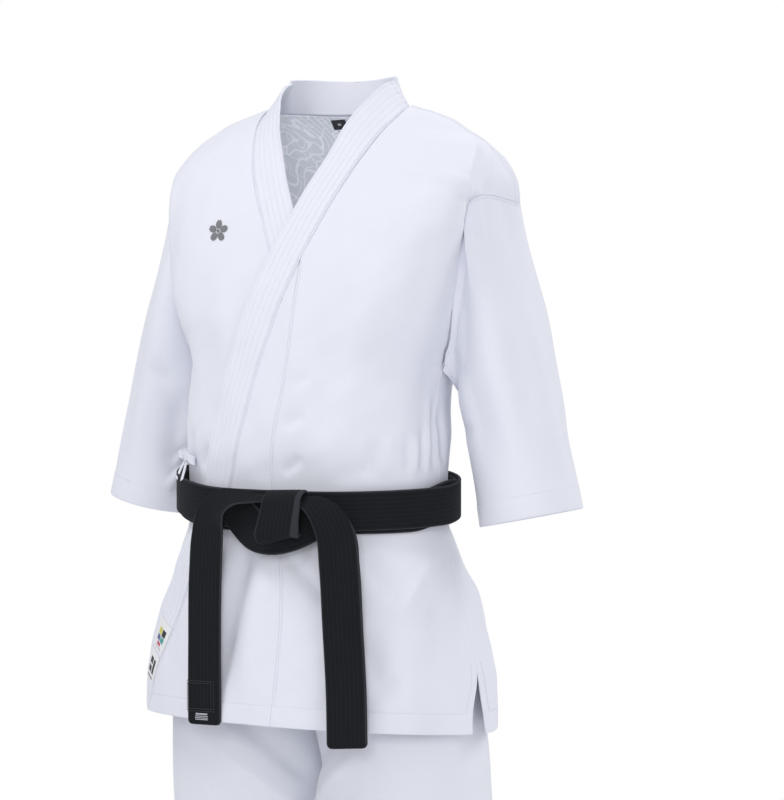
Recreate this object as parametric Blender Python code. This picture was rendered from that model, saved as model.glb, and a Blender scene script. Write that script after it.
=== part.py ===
"""Karate uniform: jacket, tied belt and trousers, each cut piece a thin closed solid.

Wearer's frame in metres: front faces -Y, wearer's left is +X, up is +Z.
The origin is the middle of the neck, level with the points where the collar meets the shoulders.
"""
import math

import bpy
import numpy as np

WALL = 0.0020
SEAM = 0.0006
BAND_WIDTH = 0.042
BAND_LOW, BAND_HIGH = -0.0003, 0.0032
LINING_LOW, LINING_HIGH = -0.0040, -0.0028
OVER_LIFT = 0.0052
BELT_WIDTH = 0.045
BELT_THICK = 0.0034
RIDGE = 0.780
BODY_END = 2 * RIDGE
ARMPIT = 0.432
CUFF_HEM = 0.030

# Body of the jacket. One row per level; h is the distance up the cloth from the hem.
# side_front and side_back are the left end of the row: the side seam, above the armpit the armhole.
# front and back are y, z of the row at the middle; the last two say how square the row's corners are.
LEVELS = [
    # h, side_front xyz, side_back xyz, front yz, back yz, squareness front, back
    (0.000, (0.215, -0.030, -0.722), (0.215, -0.030, -0.722), (-0.178, -0.708), (0.112, -0.722), 2.1, 2.1),
    (0.080, (0.202, -0.030, -0.645), (0.202, -0.030, -0.645), (-0.172, -0.630), (0.106, -0.645), 2.1, 2.1),
    (0.160, (0.184, -0.034, -0.565), (0.184, -0.034, -0.565), (-0.163, -0.556), (0.092, -0.560), 2.1, 2.1),
    (0.205, (0.172, -0.041, -0.518), (0.172, -0.041, -0.518), (-0.156, -0.516), (0.074, -0.508), 2.1, 2.1),
    (0.236, (0.161, -0.045, -0.487), (0.161, -0.045, -0.487), (-0.149, -0.491), (0.064, -0.473), 2.1, 2.1),
    (0.265, (0.160, -0.045, -0.458), (0.160, -0.045, -0.458), (-0.148, -0.462), (0.063, -0.444), 2.1, 2.1),
    (0.294, (0.161, -0.045, -0.429), (0.161, -0.045, -0.429), (-0.149, -0.433), (0.064, -0.415), 2.1, 2.1),
    (0.335, (0.160, -0.046, -0.388), (0.160, -0.046, -0.388), (-0.154, -0.393), (0.074, -0.373), 2.2, 2.2),
    (0.385, (0.157, -0.044, -0.342), (0.157, -0.044, -0.342), (-0.151, -0.340), (0.082, -0.326), 2.3, 2.3),
    (0.424, (0.1537, -0.033, -0.3095), (0.1537, -0.033, -0.3095), (-0.146, -0.298), (0.091, -0.287), 2.5, 2.4),
    (0.432, (0.153, -0.030, -0.303), (0.153, -0.030, -0.303), (-0.145, -0.290), (0.093, -0.279), 2.6, 2.4),
    (0.490, (0.171, -0.038, -0.250), (0.170, 0.022, -0.250), (-0.137, -0.235), (0.101, -0.224), 3.0, 2.6),
    (0.550, (0.185, -0.044, -0.186), (0.186, 0.054, -0.195), (-0.123, -0.178), (0.105, -0.166), 3.2, 2.7),
    (0.620, (0.195, -0.046, -0.118), (0.197, 0.068, -0.146), (-0.100, -0.112), (0.100, -0.104), 3.0, 2.6),
    (0.680, (0.208, -0.031, -0.104), (0.211, 0.058, -0.120), (-0.070, -0.056), (0.078, -0.055), 2.4, 2.3),
    (0.730, (0.221, -0.008, -0.106), (0.226, 0.036, -0.113), (-0.036, -0.012), (0.047, -0.003), 2.1, 2.1),
    (0.780, (0.234, 0.014, -0.112), (0.234, 0.014, -0.112), (0.004, 0.013), (0.004, 0.013), 2.0, 2.0),
]

# Seam between the fronts and the collar band, from the hem up to the shoulder point:
# h up the cloth, u across (0 middle, 1 side) for the over front and, mirrored, for the under front.
BAND_SEAM = [
    # h, over front, under front
    (0.000, -0.640, -0.400),
    (0.060, -0.560, -0.390),
    (0.120, -0.470, -0.370),
    (0.180, -0.395, -0.340),
    (0.250, -0.262, -0.250),
    (0.323, -0.165, -0.165),
    (0.400, -0.080, -0.080),
    (0.456, -0.015, -0.015),
    (0.554, 0.100, 0.056),
    (0.587, 0.140, 0.102),
    (0.630, 0.186, 0.164),
    (0.663, 0.222, 0.203),
    (0.701, 0.256, 0.238),
    (0.740, 0.276, 0.262),
    (0.780, 0.276, 0.262),
]
BACK_NECK_DROP = 0.048
# How far the band leans out of the cloth's surface, in degrees, along the front seam and at the back neck.
BAND_LEAN = [(0.000, 0), (0.580, 0), (0.630, 3), (0.680, 10), (0.730, 22), (0.780, 40)]
SHOULDER_LEAN, BACK_NECK_LEAN = 40, 60

# Straight seam of each front, from the band down to the hem.
FRONT_SEAM = [
    # h, over front, under front
    (0.000, 0.058, 0.058),
    (0.160, 0.084, 0.070),
    (0.310, 0.018, 0.030),
    (0.436, 0.091, 0.066),
    (0.548, 0.094, 0.050),
]
FRONT_SEAM_TOP = 0.548

# Sleeve sections from the armhole to the cuff: inner and outer x, z and front and back y.
SLEEVE = [
    # v, inner x, z, outer x, z, front y, back y
    (0.00, 0.153, -0.303, 0.234, -0.112, -0.046, 0.072),
    (0.12, 0.162, -0.322, 0.242, -0.160, -0.048, 0.078),
    (0.30, 0.169, -0.349, 0.261, -0.235, -0.051, 0.077),
    (0.50, 0.178, -0.384, 0.279, -0.308, -0.049, 0.072),
    (0.75, 0.189, -0.434, 0.296, -0.385, -0.047, 0.064),
    (1.00, 0.200, -0.486, 0.314, -0.462, -0.050, 0.060),
]

# Trouser legs: half sections above the crotch, whole ones below it.
LEGS = [
    # z, front y, back y, outer x, squareness
    (-0.468, -0.1468, 0.0618, 0.1588, 2.1),
    (-0.520, -0.1460, 0.0635, 0.1600, 2.1),
    (-0.600, -0.140, 0.084, 0.178, 2.3),
    (-0.680, -0.136, 0.092, 0.194, 2.3),
    (-0.740, -0.126, 0.092, 0.200, 2.2),
    (-0.800, -0.117, 0.090, 0.202, 2.1),
    (-0.900, -0.113, 0.088, 0.202, 2.0),
    (-1.100, -0.110, 0.087, 0.200, 2.0),
    (-1.300, -0.108, 0.086, 0.199, 2.0),
    (-1.390, -0.107, 0.086, 0.199, 2.0),
]
CROTCH_Z = -0.800
CROTCH_Y = -0.012


def smooth_columns(knots, values, at):
    """Smooth curve through the rows of a table: cubic pieces, slopes taken from the neighbours."""
    knots = np.asarray(knots, float)
    values = np.asarray(values, float)
    at = np.clip(np.asarray(at, float), knots[0], knots[-1])
    step = np.diff(knots)
    rise = np.diff(values, axis=0) / step[:, None]
    slope = np.zeros_like(values)
    slope[0], slope[-1] = rise[0], rise[-1]
    slope[1:-1] = (rise[:-1] * step[1:, None] + rise[1:] * step[:-1, None]) / (step[1:] + step[:-1])[:, None]
    i = np.clip(np.searchsorted(knots, at, side="right") - 1, 0, len(knots) - 2)
    s = ((at - knots[i]) / step[i])[..., None]
    d = step[i][..., None]
    return (values[i] * (2 * s**3 - 3 * s**2 + 1) + slope[i] * d * (s**3 - 2 * s**2 + s)
            + values[i + 1] * (3 * s**2 - 2 * s**3) + slope[i + 1] * d * (s**3 - s**2))


def column(table, index, at):
    rows = np.array(table, float)
    return smooth_columns(rows[:, 0], rows[:, index:index + 1], at)[..., 0]


def ease(x, a=0.0, b=1.0):
    t = np.clip((np.asarray(x, float) - a) / (b - a), 0, 1)
    return t * t * (3 - 2 * t)


def unit(v):
    return v / np.maximum(np.linalg.norm(v, axis=-1, keepdims=True), 1e-12)


def body_table():
    rows = [(h, *sf, *f, nf) for h, sf, sb, f, b, nf, nb in LEVELS]
    rows += [(BODY_END - h, *sb, *b, nb) for h, sf, sb, f, b, nf, nb in reversed(LEVELS[:-1])]
    return np.array(rows)


ROWS = body_table()


def body(u, w):
    """Jacket body: u from -1, the wearer's right side, to 1; w from the front hem over the shoulder to the back hem."""
    u, w = np.broadcast_arrays(np.asarray(u, float), np.asarray(w, float))
    c = smooth_columns(ROWS[:, 0], ROWS[:, 1:], w)
    xs, ys, zs, ym, zm, n = (c[..., k] for k in range(6))
    a = u * (math.pi / 2)
    sn, cs = np.sin(a), np.maximum(np.cos(a), 0)
    r = (np.abs(sn) ** n + cs**n) ** (-1 / n)
    s, q = sn * r, cs * r
    return np.stack([xs * s, ys + (ym - ys) * q, zs + (zm - zs) * q], -1)


def body_tangents(u, w):
    e = 0.002
    u0, u1 = np.maximum(u - e, -1), np.minimum(u + e, 1)
    w0, w1 = np.maximum(w - e, 0), np.minimum(w + e, BODY_END)
    pu = (body(u1, w) - body(u0, w)) / (u1 - u0)[..., None]
    pw = (body(u, w1) - body(u, w0)) / (w1 - w0)[..., None]
    return pu, pw


def body_normal(u, w):
    u, w = np.broadcast_arrays(np.asarray(u, float), np.asarray(w, float))
    pu, pw = body_tangents(u, w)
    return unit(np.cross(pu, pw))


def over_lift(u, w):
    """How far the over front stands off the body because the under front lies beneath it."""
    side = 1 - ease(u, 0.66, 0.96)
    up = 1 - ease(w, 0.600, 0.730)
    corner = 0.004 * ease(-u, 0.50, 0.95) * ease(0.20 - w, 0.0, 0.20)
    return OVER_LIFT * side * up + corner


def armhole(theta):
    """Armhole seam, theta 0 at the armpit, rising up the front to 1 at the top, down the back to 2."""
    theta = np.asarray(theta, float)
    w = ARMPIT + (RIDGE - ARMPIT) * np.minimum(theta, 1) + (RIDGE - ARMPIT) * np.maximum(theta - 1, 0)
    w = np.where(theta <= 1, w, RIDGE + (RIDGE - ARMPIT) * (theta - 1))
    return body(np.ones_like(w), w), w


def sleeve(theta, v):
    """Sleeve surface of the wearer's left arm: theta as at the armhole, v from 0 there to 1 at the cuff."""
    theta, v = np.broadcast_arrays(np.asarray(theta, float), np.asarray(v, float))
    rows = np.array(SLEEVE)
    c = smooth_columns(rows[:, 0], rows[:, 1:], v)
    xi, zi, xo, zo, yf, yb = (c[..., k] for k in range(6))
    a = theta * math.pi
    mid = np.stack([(xi + xo) / 2, (yf + yb) / 2, (zi + zo) / 2], -1)
    out = np.stack([(xo - xi) / 2, 0 * xi, (zo - zi) / 2], -1)
    ring = mid - out * np.cos(a)[..., None]
    ring[..., 1] += -(yb - yf) / 2 * np.sin(a)
    seam, _ = armhole(theta)
    first = rows[0, 1:]
    drift_in = np.stack([xi - first[0], 0 * xi, zi - first[1]], -1)
    drift_out = np.stack([xo - first[2], 0 * xo, zo - first[3]], -1)
    mix = ((1 - np.cos(a)) / 2)[..., None]
    near_armpit = 1 - ease(np.minimum(theta, 2 - theta), 0.0, 0.34)
    seam = seam + np.stack([0.0050 * near_armpit, 0 * near_armpit, -0.0010 * near_armpit], -1)
    moved = seam + drift_in * (1 - mix) + drift_out * mix
    b = ease(v, 0.0, 0.34)[..., None]
    return moved * (1 - b) + ring * b


def grid_normal(p, closed=False):
    """Normals of a grid of points, rows by columns; closed says that the columns go all round."""
    if closed:
        du = np.roll(p, -1, 1) - np.roll(p, 1, 1)
    else:
        du = np.gradient(p, axis=1)
    dw = np.gradient(p, axis=0)
    return unit(np.cross(du, dw))


def shared_normal(theta):
    """One wall direction along the armhole for body and sleeve, so that their edges lie face to face."""
    seam, w = armhole(theta)
    nb = body_normal(np.full_like(w, 0.985), w)
    e = 0.02
    p0, p1 = sleeve(theta, np.full_like(theta, 0.004)), sleeve(theta, np.full_like(theta, 0.034))
    t0 = sleeve(np.maximum(theta - e, 0), np.full_like(theta, 0.02))
    t1 = sleeve(np.minimum(theta + e, 2), np.full_like(theta, 0.02))
    ns = unit(np.cross(p1 - p0, t1 - t0))
    flip = np.sign(np.sum(ns * nb, -1, keepdims=True))
    return unit(nb + ns * np.where(flip == 0, 1, flip))


def body_wall(u, w):
    """Wall direction on the body: its normal, turned to the shared one close to the armhole."""
    n = body_normal(u, w)
    theta = np.clip((w - ARMPIT) / (RIDGE - ARMPIT), 0, 2)
    h = np.minimum(w, BODY_END - w)
    one = np.ones_like(h)
    seam_n = unit(body_normal(one, h) + body_normal(one, BODY_END - h))
    a = ease(np.minimum(theta, 2 - theta), 0.03, 0.14)[..., None]
    edge = unit(seam_n * (1 - a) + shared_normal(theta) * a)
    edge = edge * np.where(u < 0, -1, 1)[..., None] ** np.array([1, 0, 0])
    k = ease(np.abs(u), 0.86, 1.0)[..., None]
    return unit(n * (1 - k) + edge * k)


def seam_curve(table, over, at):
    return column(table, 1 if over else 2, at)


def main_panel(over, rows, cols, base=0.0):
    """Points and wall directions of a front's main panel, from its straight seam to its side."""
    h = np.array(rows)
    inner = np.where(h <= FRONT_SEAM_TOP,
                     seam_curve(FRONT_SEAM, over, np.minimum(h, FRONT_SEAM_TOP)), seam_curve(BAND_SEAM, over, h))
    outer = 1 - 0.125 * (1 - ease(h, 0.0, 0.085))
    q = np.linspace(0, 1, cols)
    u = inner[:, None] + (outer - inner)[:, None] * q[None, :]
    w = np.repeat(h[:, None], cols, 1)
    return u, w


def lay(u, w, over, mirror=False):
    """Place u, w of a front on the body, over or under."""
    p, n = body(u, w), body_wall(u, w)
    if over:
        p = p + n * over_lift(u, w)[..., None]
    if mirror:
        p = p * np.array([-1, 1, 1])
        n = n * np.array([-1, 1, 1])
    return p, n


def inset(p, left=0.0, right=0.0, low=0.0, high=0.0):
    """Draw the edges of a grid in by a distance, for the seam gaps."""
    p = p.copy()
    if left:
        p[:, 0] += unit(p[:, 1] - p[:, 0]) * left
    if right:
        p[:, -1] += unit(p[:, -2] - p[:, -1]) * right
    if low:
        p[0] += unit(p[1] - p[0]) * low
    if high:
        p[-1] += unit(p[-2] - p[-1]) * high
    return p


def build(name, verts, faces):
    mesh = bpy.data.meshes.new(name)
    mesh.from_pydata([tuple(float(c) for c in v) for v in verts], [], faces)
    mesh.validate()
    obj = bpy.data.objects.new(name, mesh)
    bpy.context.scene.collection.objects.link(obj)
    import bmesh
    bm = bmesh.new()
    bm.from_mesh(mesh)
    bmesh.ops.recalc_face_normals(bm, faces=bm.faces)
    bm.to_mesh(mesh)
    bm.free()
    return obj


def shell(name, p, n, low, high, closed=False):
    """Closed solid between two offsets of a grid; closed says that the columns go all round."""
    m, k = p.shape[:2]
    low = np.broadcast_to(np.asarray(low, float), (m, k))[..., None]
    high = np.broadcast_to(np.asarray(high, float), (m, k))[..., None]
    verts = np.concatenate([(p + n * low).reshape(-1, 3), (p + n * high).reshape(-1, 3)])
    top = m * k
    faces = []
    wrap = k if closed else k - 1
    for i in range(m - 1):
        for j in range(wrap):
            a, b = i * k + j, i * k + (j + 1) % k
            c, d = (i + 1) * k + (j + 1) % k, (i + 1) * k + j
            faces.append((a, d, c, b))
            faces.append((top + a, top + b, top + c, top + d))
    for j in range(wrap):
        a, b = j, (j + 1) % k
        faces.append((a, b, top + b, top + a))
        c, d = (m - 1) * k + j, (m - 1) * k + (j + 1) % k
        faces.append((c, top + c, top + d, d))
    if not closed:
        for i in range(m - 1):
            a, d = i * k, (i + 1) * k
            faces.append((a, top + a, top + d, d))
            b, c = i * k + k - 1, (i + 1) * k + k - 1
            faces.append((b, c, top + c, top + b))
    return build(name, verts, faces)


def ribbon(name, stations, thick, steps, closed=False):
    """Flat ribbon: stations of centre, direction across and width, swept smoothly."""
    rows = np.array([(*c, *a, wd) for c, a, wd in stations], float)
    if closed:
        at = np.arange(len(rows))
        t = np.linspace(0, len(rows), steps, endpoint=False)
        ext = np.concatenate([rows[-2:], rows, rows[:3]])
        c = smooth_columns(np.arange(-2, len(rows) + 3), ext, t)
    else:
        far = np.concatenate([[0], np.cumsum(np.linalg.norm(np.diff(rows[:, :3], axis=0), axis=1))])
        c = smooth_columns(far, rows, np.linspace(0, far[-1], steps))
    centre, across, wide = c[:, :3], unit(c[:, 3:6]), c[:, 6:7]
    if closed:
        along = unit(np.roll(centre, -1, 0) - np.roll(centre, 1, 0))
    else:
        along = unit(np.gradient(centre, axis=0))
    across = unit(across - along * np.sum(across * along, -1, keepdims=True))
    normal = unit(np.cross(along, across))
    a, b = across * wide / 2, normal * thick / 2
    ring = np.stack([centre - a - b, centre + a - b, centre + a + b, centre - a + b], 1)
    n = len(centre)
    faces = []
    for i in range(n if closed else n - 1):
        for j in range(4):
            i2 = (i + 1) % n
            faces.append((i * 4 + j, i2 * 4 + j, i2 * 4 + (j + 1) % 4, i * 4 + (j + 1) % 4))
    if not closed:
        faces.append((0, 1, 2, 3))
        faces.append(tuple((n - 1) * 4 + j for j in (3, 2, 1, 0)))
    return build(name, ring.reshape(-1, 3), faces)


# Rows shared by all jacket pieces, so that neighbours keep one seam line.
LOW_ROWS = [0.0, 0.040, 0.080, 0.120, 0.155, 0.185, 0.210, 0.236, 0.265, 0.294, 0.320, 0.348, 0.376, 0.404]
ARM_ROWS = [ARMPIT + (RIDGE - ARMPIT) * k / 12 for k in range(13)]
NECK_TURNS = 16


def neck_line():
    """Seam of the back with the collar band: u, w from the wearer's left shoulder point to the right one."""
    ul = seam_curve(BAND_SEAM, True, np.array(RIDGE))
    ur = seam_curve(BAND_SEAM, False, np.array(RIDGE))
    a = np.linspace(0, math.pi, NECK_TURNS + 1)
    return np.where(np.cos(a) > 0, ul, ur) * np.cos(a), RIDGE + BACK_NECK_DROP * np.sin(a)


def fronts():
    rows = LOW_ROWS + ARM_ROWS
    for over, name in ((True, "left_front"), (False, "right_front")):
        u, w = main_panel(over, rows, 12)
        p, n = lay(u, w, over, mirror=not over)
        p = inset(p, left=SEAM / 2, right=SEAM / 2, high=SEAM / 2)
        shell(name, p, n, 0.0, WALL)
        h = np.array([r for r in rows if r < 0.53] + [FRONT_SEAM_TOP])
        a, b = seam_curve(BAND_SEAM, over, h), seam_curve(FRONT_SEAM, over, h)
        q = np.linspace(0, 1, 6)
        u = a[:, None] + (b - a)[:, None] * q
        w = np.repeat(h[:, None], len(q), 1)
        p, n = lay(u, w, over, mirror=not over)
        p[-1], n[-1] = p[-2] * 0.45 + p[-1] * 0.55, n[-2]
        p = inset(p, left=SEAM / 2, right=SEAM / 2)
        shell(name + "_edge", p, n, 0.0, WALL)


def back():
    side = np.array([BODY_END - h for h in reversed(LOW_ROWS + ARM_ROWS)])
    rows = (side - RIDGE) / (BODY_END - RIDGE)
    nu, nw = neck_line()
    left = np.linspace(1, nu[0], 8)[:-1]
    right = np.linspace(nu[-1], -1, 8)[1:]
    u = np.concatenate([left, nu, right])[::-1]
    top = np.concatenate([np.full(7, RIDGE), nw, np.full(7, RIDGE)])[::-1]
    w = top[None, :] + (BODY_END - top)[None, :] * rows[:, None]
    uu = np.repeat(u[None, :], len(rows), 0)
    p, n = body(uu, w), body_wall(uu, w)
    p = inset(p, left=SEAM / 2, right=SEAM / 2, low=SEAM / 2)
    shell("back", p, n, 0.0, WALL)


def band_strip(u, w, over, lean, mirror, cells=3, start_sign=0, end_sign=0):
    """Collar band: from its seam on the body out to the free edge, over the cloth or leaning up from it.

    start_sign and end_sign give the way an end runs along the body, so that two lengths meet squarely.
    """
    along = np.gradient(body(u, w), axis=0)
    _, up = body_tangents(u, w)
    if start_sign:
        along[0] = up[0] * start_sign
    if end_sign:
        along[-1] = up[-1] * end_sign
    n0 = body_wall(u, w)
    if over is not None and over:
        start = body(u, w) + n0 * over_lift(u, w)[:, None]
    else:
        start = body(u, w)
    inward = unit(np.cross(n0, unit(along)))
    lean = np.radians(lean)[:, None]
    start = start + inward * (BAND_HIGH + 0.0004) * np.sin(lean) - n0 * 0.0050 * ease(np.sin(lean), 0.2, 0.7)
    straight, follow, walls = [start], [start], [n0]
    uu, ww, direction = u.copy(), w.copy(), inward
    for k in range(1, cells + 1):
        step = BAND_WIDTH / cells
        pu, pw = body_tangents(uu, ww)
        nn = unit(np.cross(pu, pw))
        direction = unit(direction - nn * np.sum(direction * nn, -1, keepdims=True))
        g11, g12, g22 = np.sum(pu * pu, -1), np.sum(pu * pw, -1), np.sum(pw * pw, -1)
        b1, b2 = np.sum(direction * pu, -1) * step, np.sum(direction * pw, -1) * step
        det = g11 * g22 - g12 * g12
        uu = np.clip(uu + (g22 * b1 - g12 * b2) / det, -1, 1)
        ww = np.clip(ww + (g11 * b2 - g12 * b1) / det, 0, BODY_END)
        q = body(uu, ww)
        nq = body_normal(uu, ww)
        if over:
            q = q + nq * over_lift(uu, ww)[:, None]
        follow.append(q)
        straight.append(start + (inward * np.cos(lean) + n0 * np.sin(lean)) * step * k)
        walls.append(nq)
    m = ease(np.degrees(lean), 2, 14)
    p = np.stack([f * (1 - m) + s * m for f, s in zip(follow, straight)], 1)
    tilt = unit(n0 * np.cos(lean) - inward * np.sin(lean))
    n = np.stack([unit(g * (1 - m) + tilt * m) for g in walls], 1)
    if mirror:
        p, n = p * np.array([-1, 1, 1]), n * np.array([-1, 1, 1])
    return p, n


def collar():
    h = np.array(LOW_ROWS + ARM_ROWS)
    lean = column(BAND_LEAN, 1, h)
    for over, name in ((True, "collar_band_left"), (False, "collar_band_right")):
        u = seam_curve(BAND_SEAM, over, h)
        p, n = band_strip(u, h, over, lean, not over, end_sign=1)
        p = inset(p, left=SEAM / 2, high=SEAM / 2)
        shell(name, p, n, BAND_LOW, BAND_HIGH)
    u, w = neck_line()
    lean = SHOULDER_LEAN + (BACK_NECK_LEAN - SHOULDER_LEAN) * np.sin(np.linspace(0, math.pi, NECK_TURNS + 1))
    p, n = band_strip(u, w, None, lean, False, start_sign=1, end_sign=-1)
    p = inset(p, left=SEAM / 2, low=SEAM / 2, high=SEAM / 2)
    shell("collar_band_neck", p, n, BAND_LOW, BAND_HIGH)


def sleeves():
    theta = np.linspace(0, 2, 25)[:-1]
    v = np.array([0, 0.05, 0.11, 0.18, 0.26, 0.35, 0.45, 0.56, 0.68, 0.80, 0.90, 1.0])
    t, s = np.meshgrid(theta, v)
    p = sleeve(t, s)
    n = grid_normal(p, closed=True)
    out = np.sum(n * (p - p.mean(axis=1, keepdims=True)), -1)
    n = n * np.sign(np.median(out))
    sh = shared_normal(t)
    k = (1 - ease(s, 0.0, 0.16))[..., None] * ease(np.minimum(t, 2 - t), 0.03, 0.14)[..., None]
    n = unit(n * (1 - k) + sh * k)
    p[0] += unit(p[1] - p[0]) * SEAM
    for side, name in ((1, "left_sleeve"), (-1, "right_sleeve")):
        flip = np.array([side, 1, 1])
        shell(name, p * flip, n * flip, 0.0, WALL, closed=True)


def leg_points(theta, z):
    """Trouser leg, wearer's left: theta 0 at the middle of the front, round the outside to 1 at the back."""
    rows = np.array([(-r[0], *r[1:]) for r in LEGS])
    c = smooth_columns(rows[:, 0], rows[:, 1:], -z)
    yf, yb, xo, n = (c[..., k] for k in range(4))
    a = theta * math.pi
    sn, cs = np.abs(np.sin(a)), np.cos(a)
    r = (sn**n + np.abs(cs) ** n) ** (-1 / n)
    ym = -0.045 + 0.015 * ease(-z, 0.50, 0.62)
    half_y = np.where(cs > 0, ym + (yf - ym) * cs * r, ym + (yb - ym) * -cs * r)
    half_x = xo * sn * r
    inner = 0.010 * ease(-z, -CROTCH_Z, 0.98)
    cx, rx = (xo + inner) / 2, (xo - inner) / 2
    cy, ry = (yf + yb) / 2, (yb - yf) / 2
    b = theta * 2 * math.pi
    full_x, full_y = cx - rx * np.cos(b), cy - ry * np.sin(b)
    m = ease(-z, 0.600, -CROTCH_Z)
    x = half_x * (1 - m) + full_x * m
    y = half_y * (1 - m) + full_y * m
    start_y = CROTCH_Y
    edge = np.exp(-((np.minimum(theta, 1 - theta) / 0.05) ** 2)) * m
    y = y * (1 - edge) + (start_y + (y - start_y) * 0.7) * edge
    return np.stack([np.maximum(x, 0) + SEAM / 2, y, z], -1)


def trousers():
    z = np.array([-0.468, -0.52, -0.60, -0.65, -0.70, -0.74, -0.77, -0.80, -0.84, -0.90, -1.00, -1.15, -1.30, -1.39])
    theta = np.linspace(0, 1, 27)
    t, zz = np.meshgrid(theta, z)
    p = leg_points(t, zz)
    n = grid_normal(p)
    mid = p[:, [13]] * np.array([0, 0, 1]) + np.array([0.10, -0.02, 0])
    n = n * np.sign(np.median(np.sum(n * (p - mid), -1)))
    p[:, 0, 0] += SEAM / 4
    gap = ease(-zz[:, 0], 0.74, 0.80)
    p[:, 0, 1] -= SEAM * gap
    p[:, -1, 1] += SEAM * gap
    flat = np.array([[0, 1, 1]])
    n[:, 0] = unit(n[:, 0] * flat)
    n[:, -1] = unit(n[:, -1] * flat)
    for side, name in ((1, "left_leg"), (-1, "right_leg")):
        f = np.array([side, 1, 1])
        shell(name, p * f, n * f, -WALL, 0.0)
    top = leg_points(theta, np.full_like(theta, -0.468))
    around = np.concatenate([top[1:-1], (top * np.array([-1, 1, 1]))[::-1][1:-1]])
    p = np.array([around + np.array([0, 0, SEAM]), around + np.array([0, 0, 0.042])])
    n = grid_normal(p, closed=True)
    n = n * np.sign(np.median(np.sum(n * (p - p.mean(1, keepdims=True)), -1)))
    shell("waistband", p, n, -0.003, 0.0, closed=True)


def on_grid(p, n, rows, cols):
    """Points and wall directions at fractional rows and columns of a grid, for what lies on its panel."""
    def take(g):
        r, c = np.array(rows, float), np.array(cols, float)
        i = np.minimum(r.astype(int), g.shape[0] - 2)
        j = np.minimum(c.astype(int), g.shape[1] - 2)
        fr, fc = (r - i)[:, None, None], (c - j)[None, :, None]
        a, b = g[np.ix_(i, j)], g[np.ix_(i, j + 1)]
        d, e = g[np.ix_(i + 1, j)], g[np.ix_(i + 1, j + 1)]
        return (a * (1 - fc) + b * fc) * (1 - fr) + (d * (1 - fc) + e * fc) * fr
    return take(p), unit(take(n))


def lining():
    u = np.linspace(-0.80, 0.80, 17)
    un = seam_curve(BAND_SEAM, True, np.array(RIDGE))
    top = RIDGE + 0.006 + BACK_NECK_DROP * np.sqrt(np.clip(1 - (u / un) ** 2, 0, 1))
    low = RIDGE + 0.300
    q = np.linspace(0, 1, 9)[:, None]
    w = top[None, :] + (low - top)[None, :] * q
    uu = np.repeat(u[None, :], 9, 0)
    p, n = body(uu, w), body_normal(uu, w)
    shell("yoke_lining", p, n, LINING_LOW, LINING_HIGH)
    for name, rows, cols in (("neck_label", (0.02, 0.20, 0.46), (6.45, 7.0, 7.55)),
                             ("size_tag", (0.50, 0.70, 0.88), (6.72, 7.0, 7.22))):
        q, m = on_grid(p, n, rows, cols)
        shell(name, q, m, LINING_LOW - 0.0023, LINING_LOW - 0.0014)


def hem_labels():
    for name, low, high in (("hem_label_upper", 0.082, 0.116), ("hem_label_lower", 0.044, 0.078)):
        h = np.linspace(low, high, 4)
        u = seam_curve(BAND_SEAM, True, h)
        p, n = band_strip(u, h, True, np.zeros_like(h), False, cells=6)
        shell(name, p[:, 1:6], n[:, 1:6], BAND_HIGH + 0.0004, BAND_HIGH + 0.0010)


def belt_loop(name, low, high, drop):
    ring = []
    u = np.concatenate([np.linspace(-1, 1, 29)[:-1], np.linspace(1, -1, 29)[:-1]])
    w = np.concatenate([np.full(28, 0.265), np.full(28, BODY_END - 0.265)])
    p = body(u, w)
    n = unit(body_normal(u, w) * np.array([1, 1, 0]))
    for k, s in enumerate((-0.5, 0.5)):
        q = p.copy()
        q[:, 2] += s * BELT_WIDTH - drop
        ring.append(q)
    grid = np.array(ring)
    shell(name, grid, np.array([n, n]), low, high, closed=True)


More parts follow.
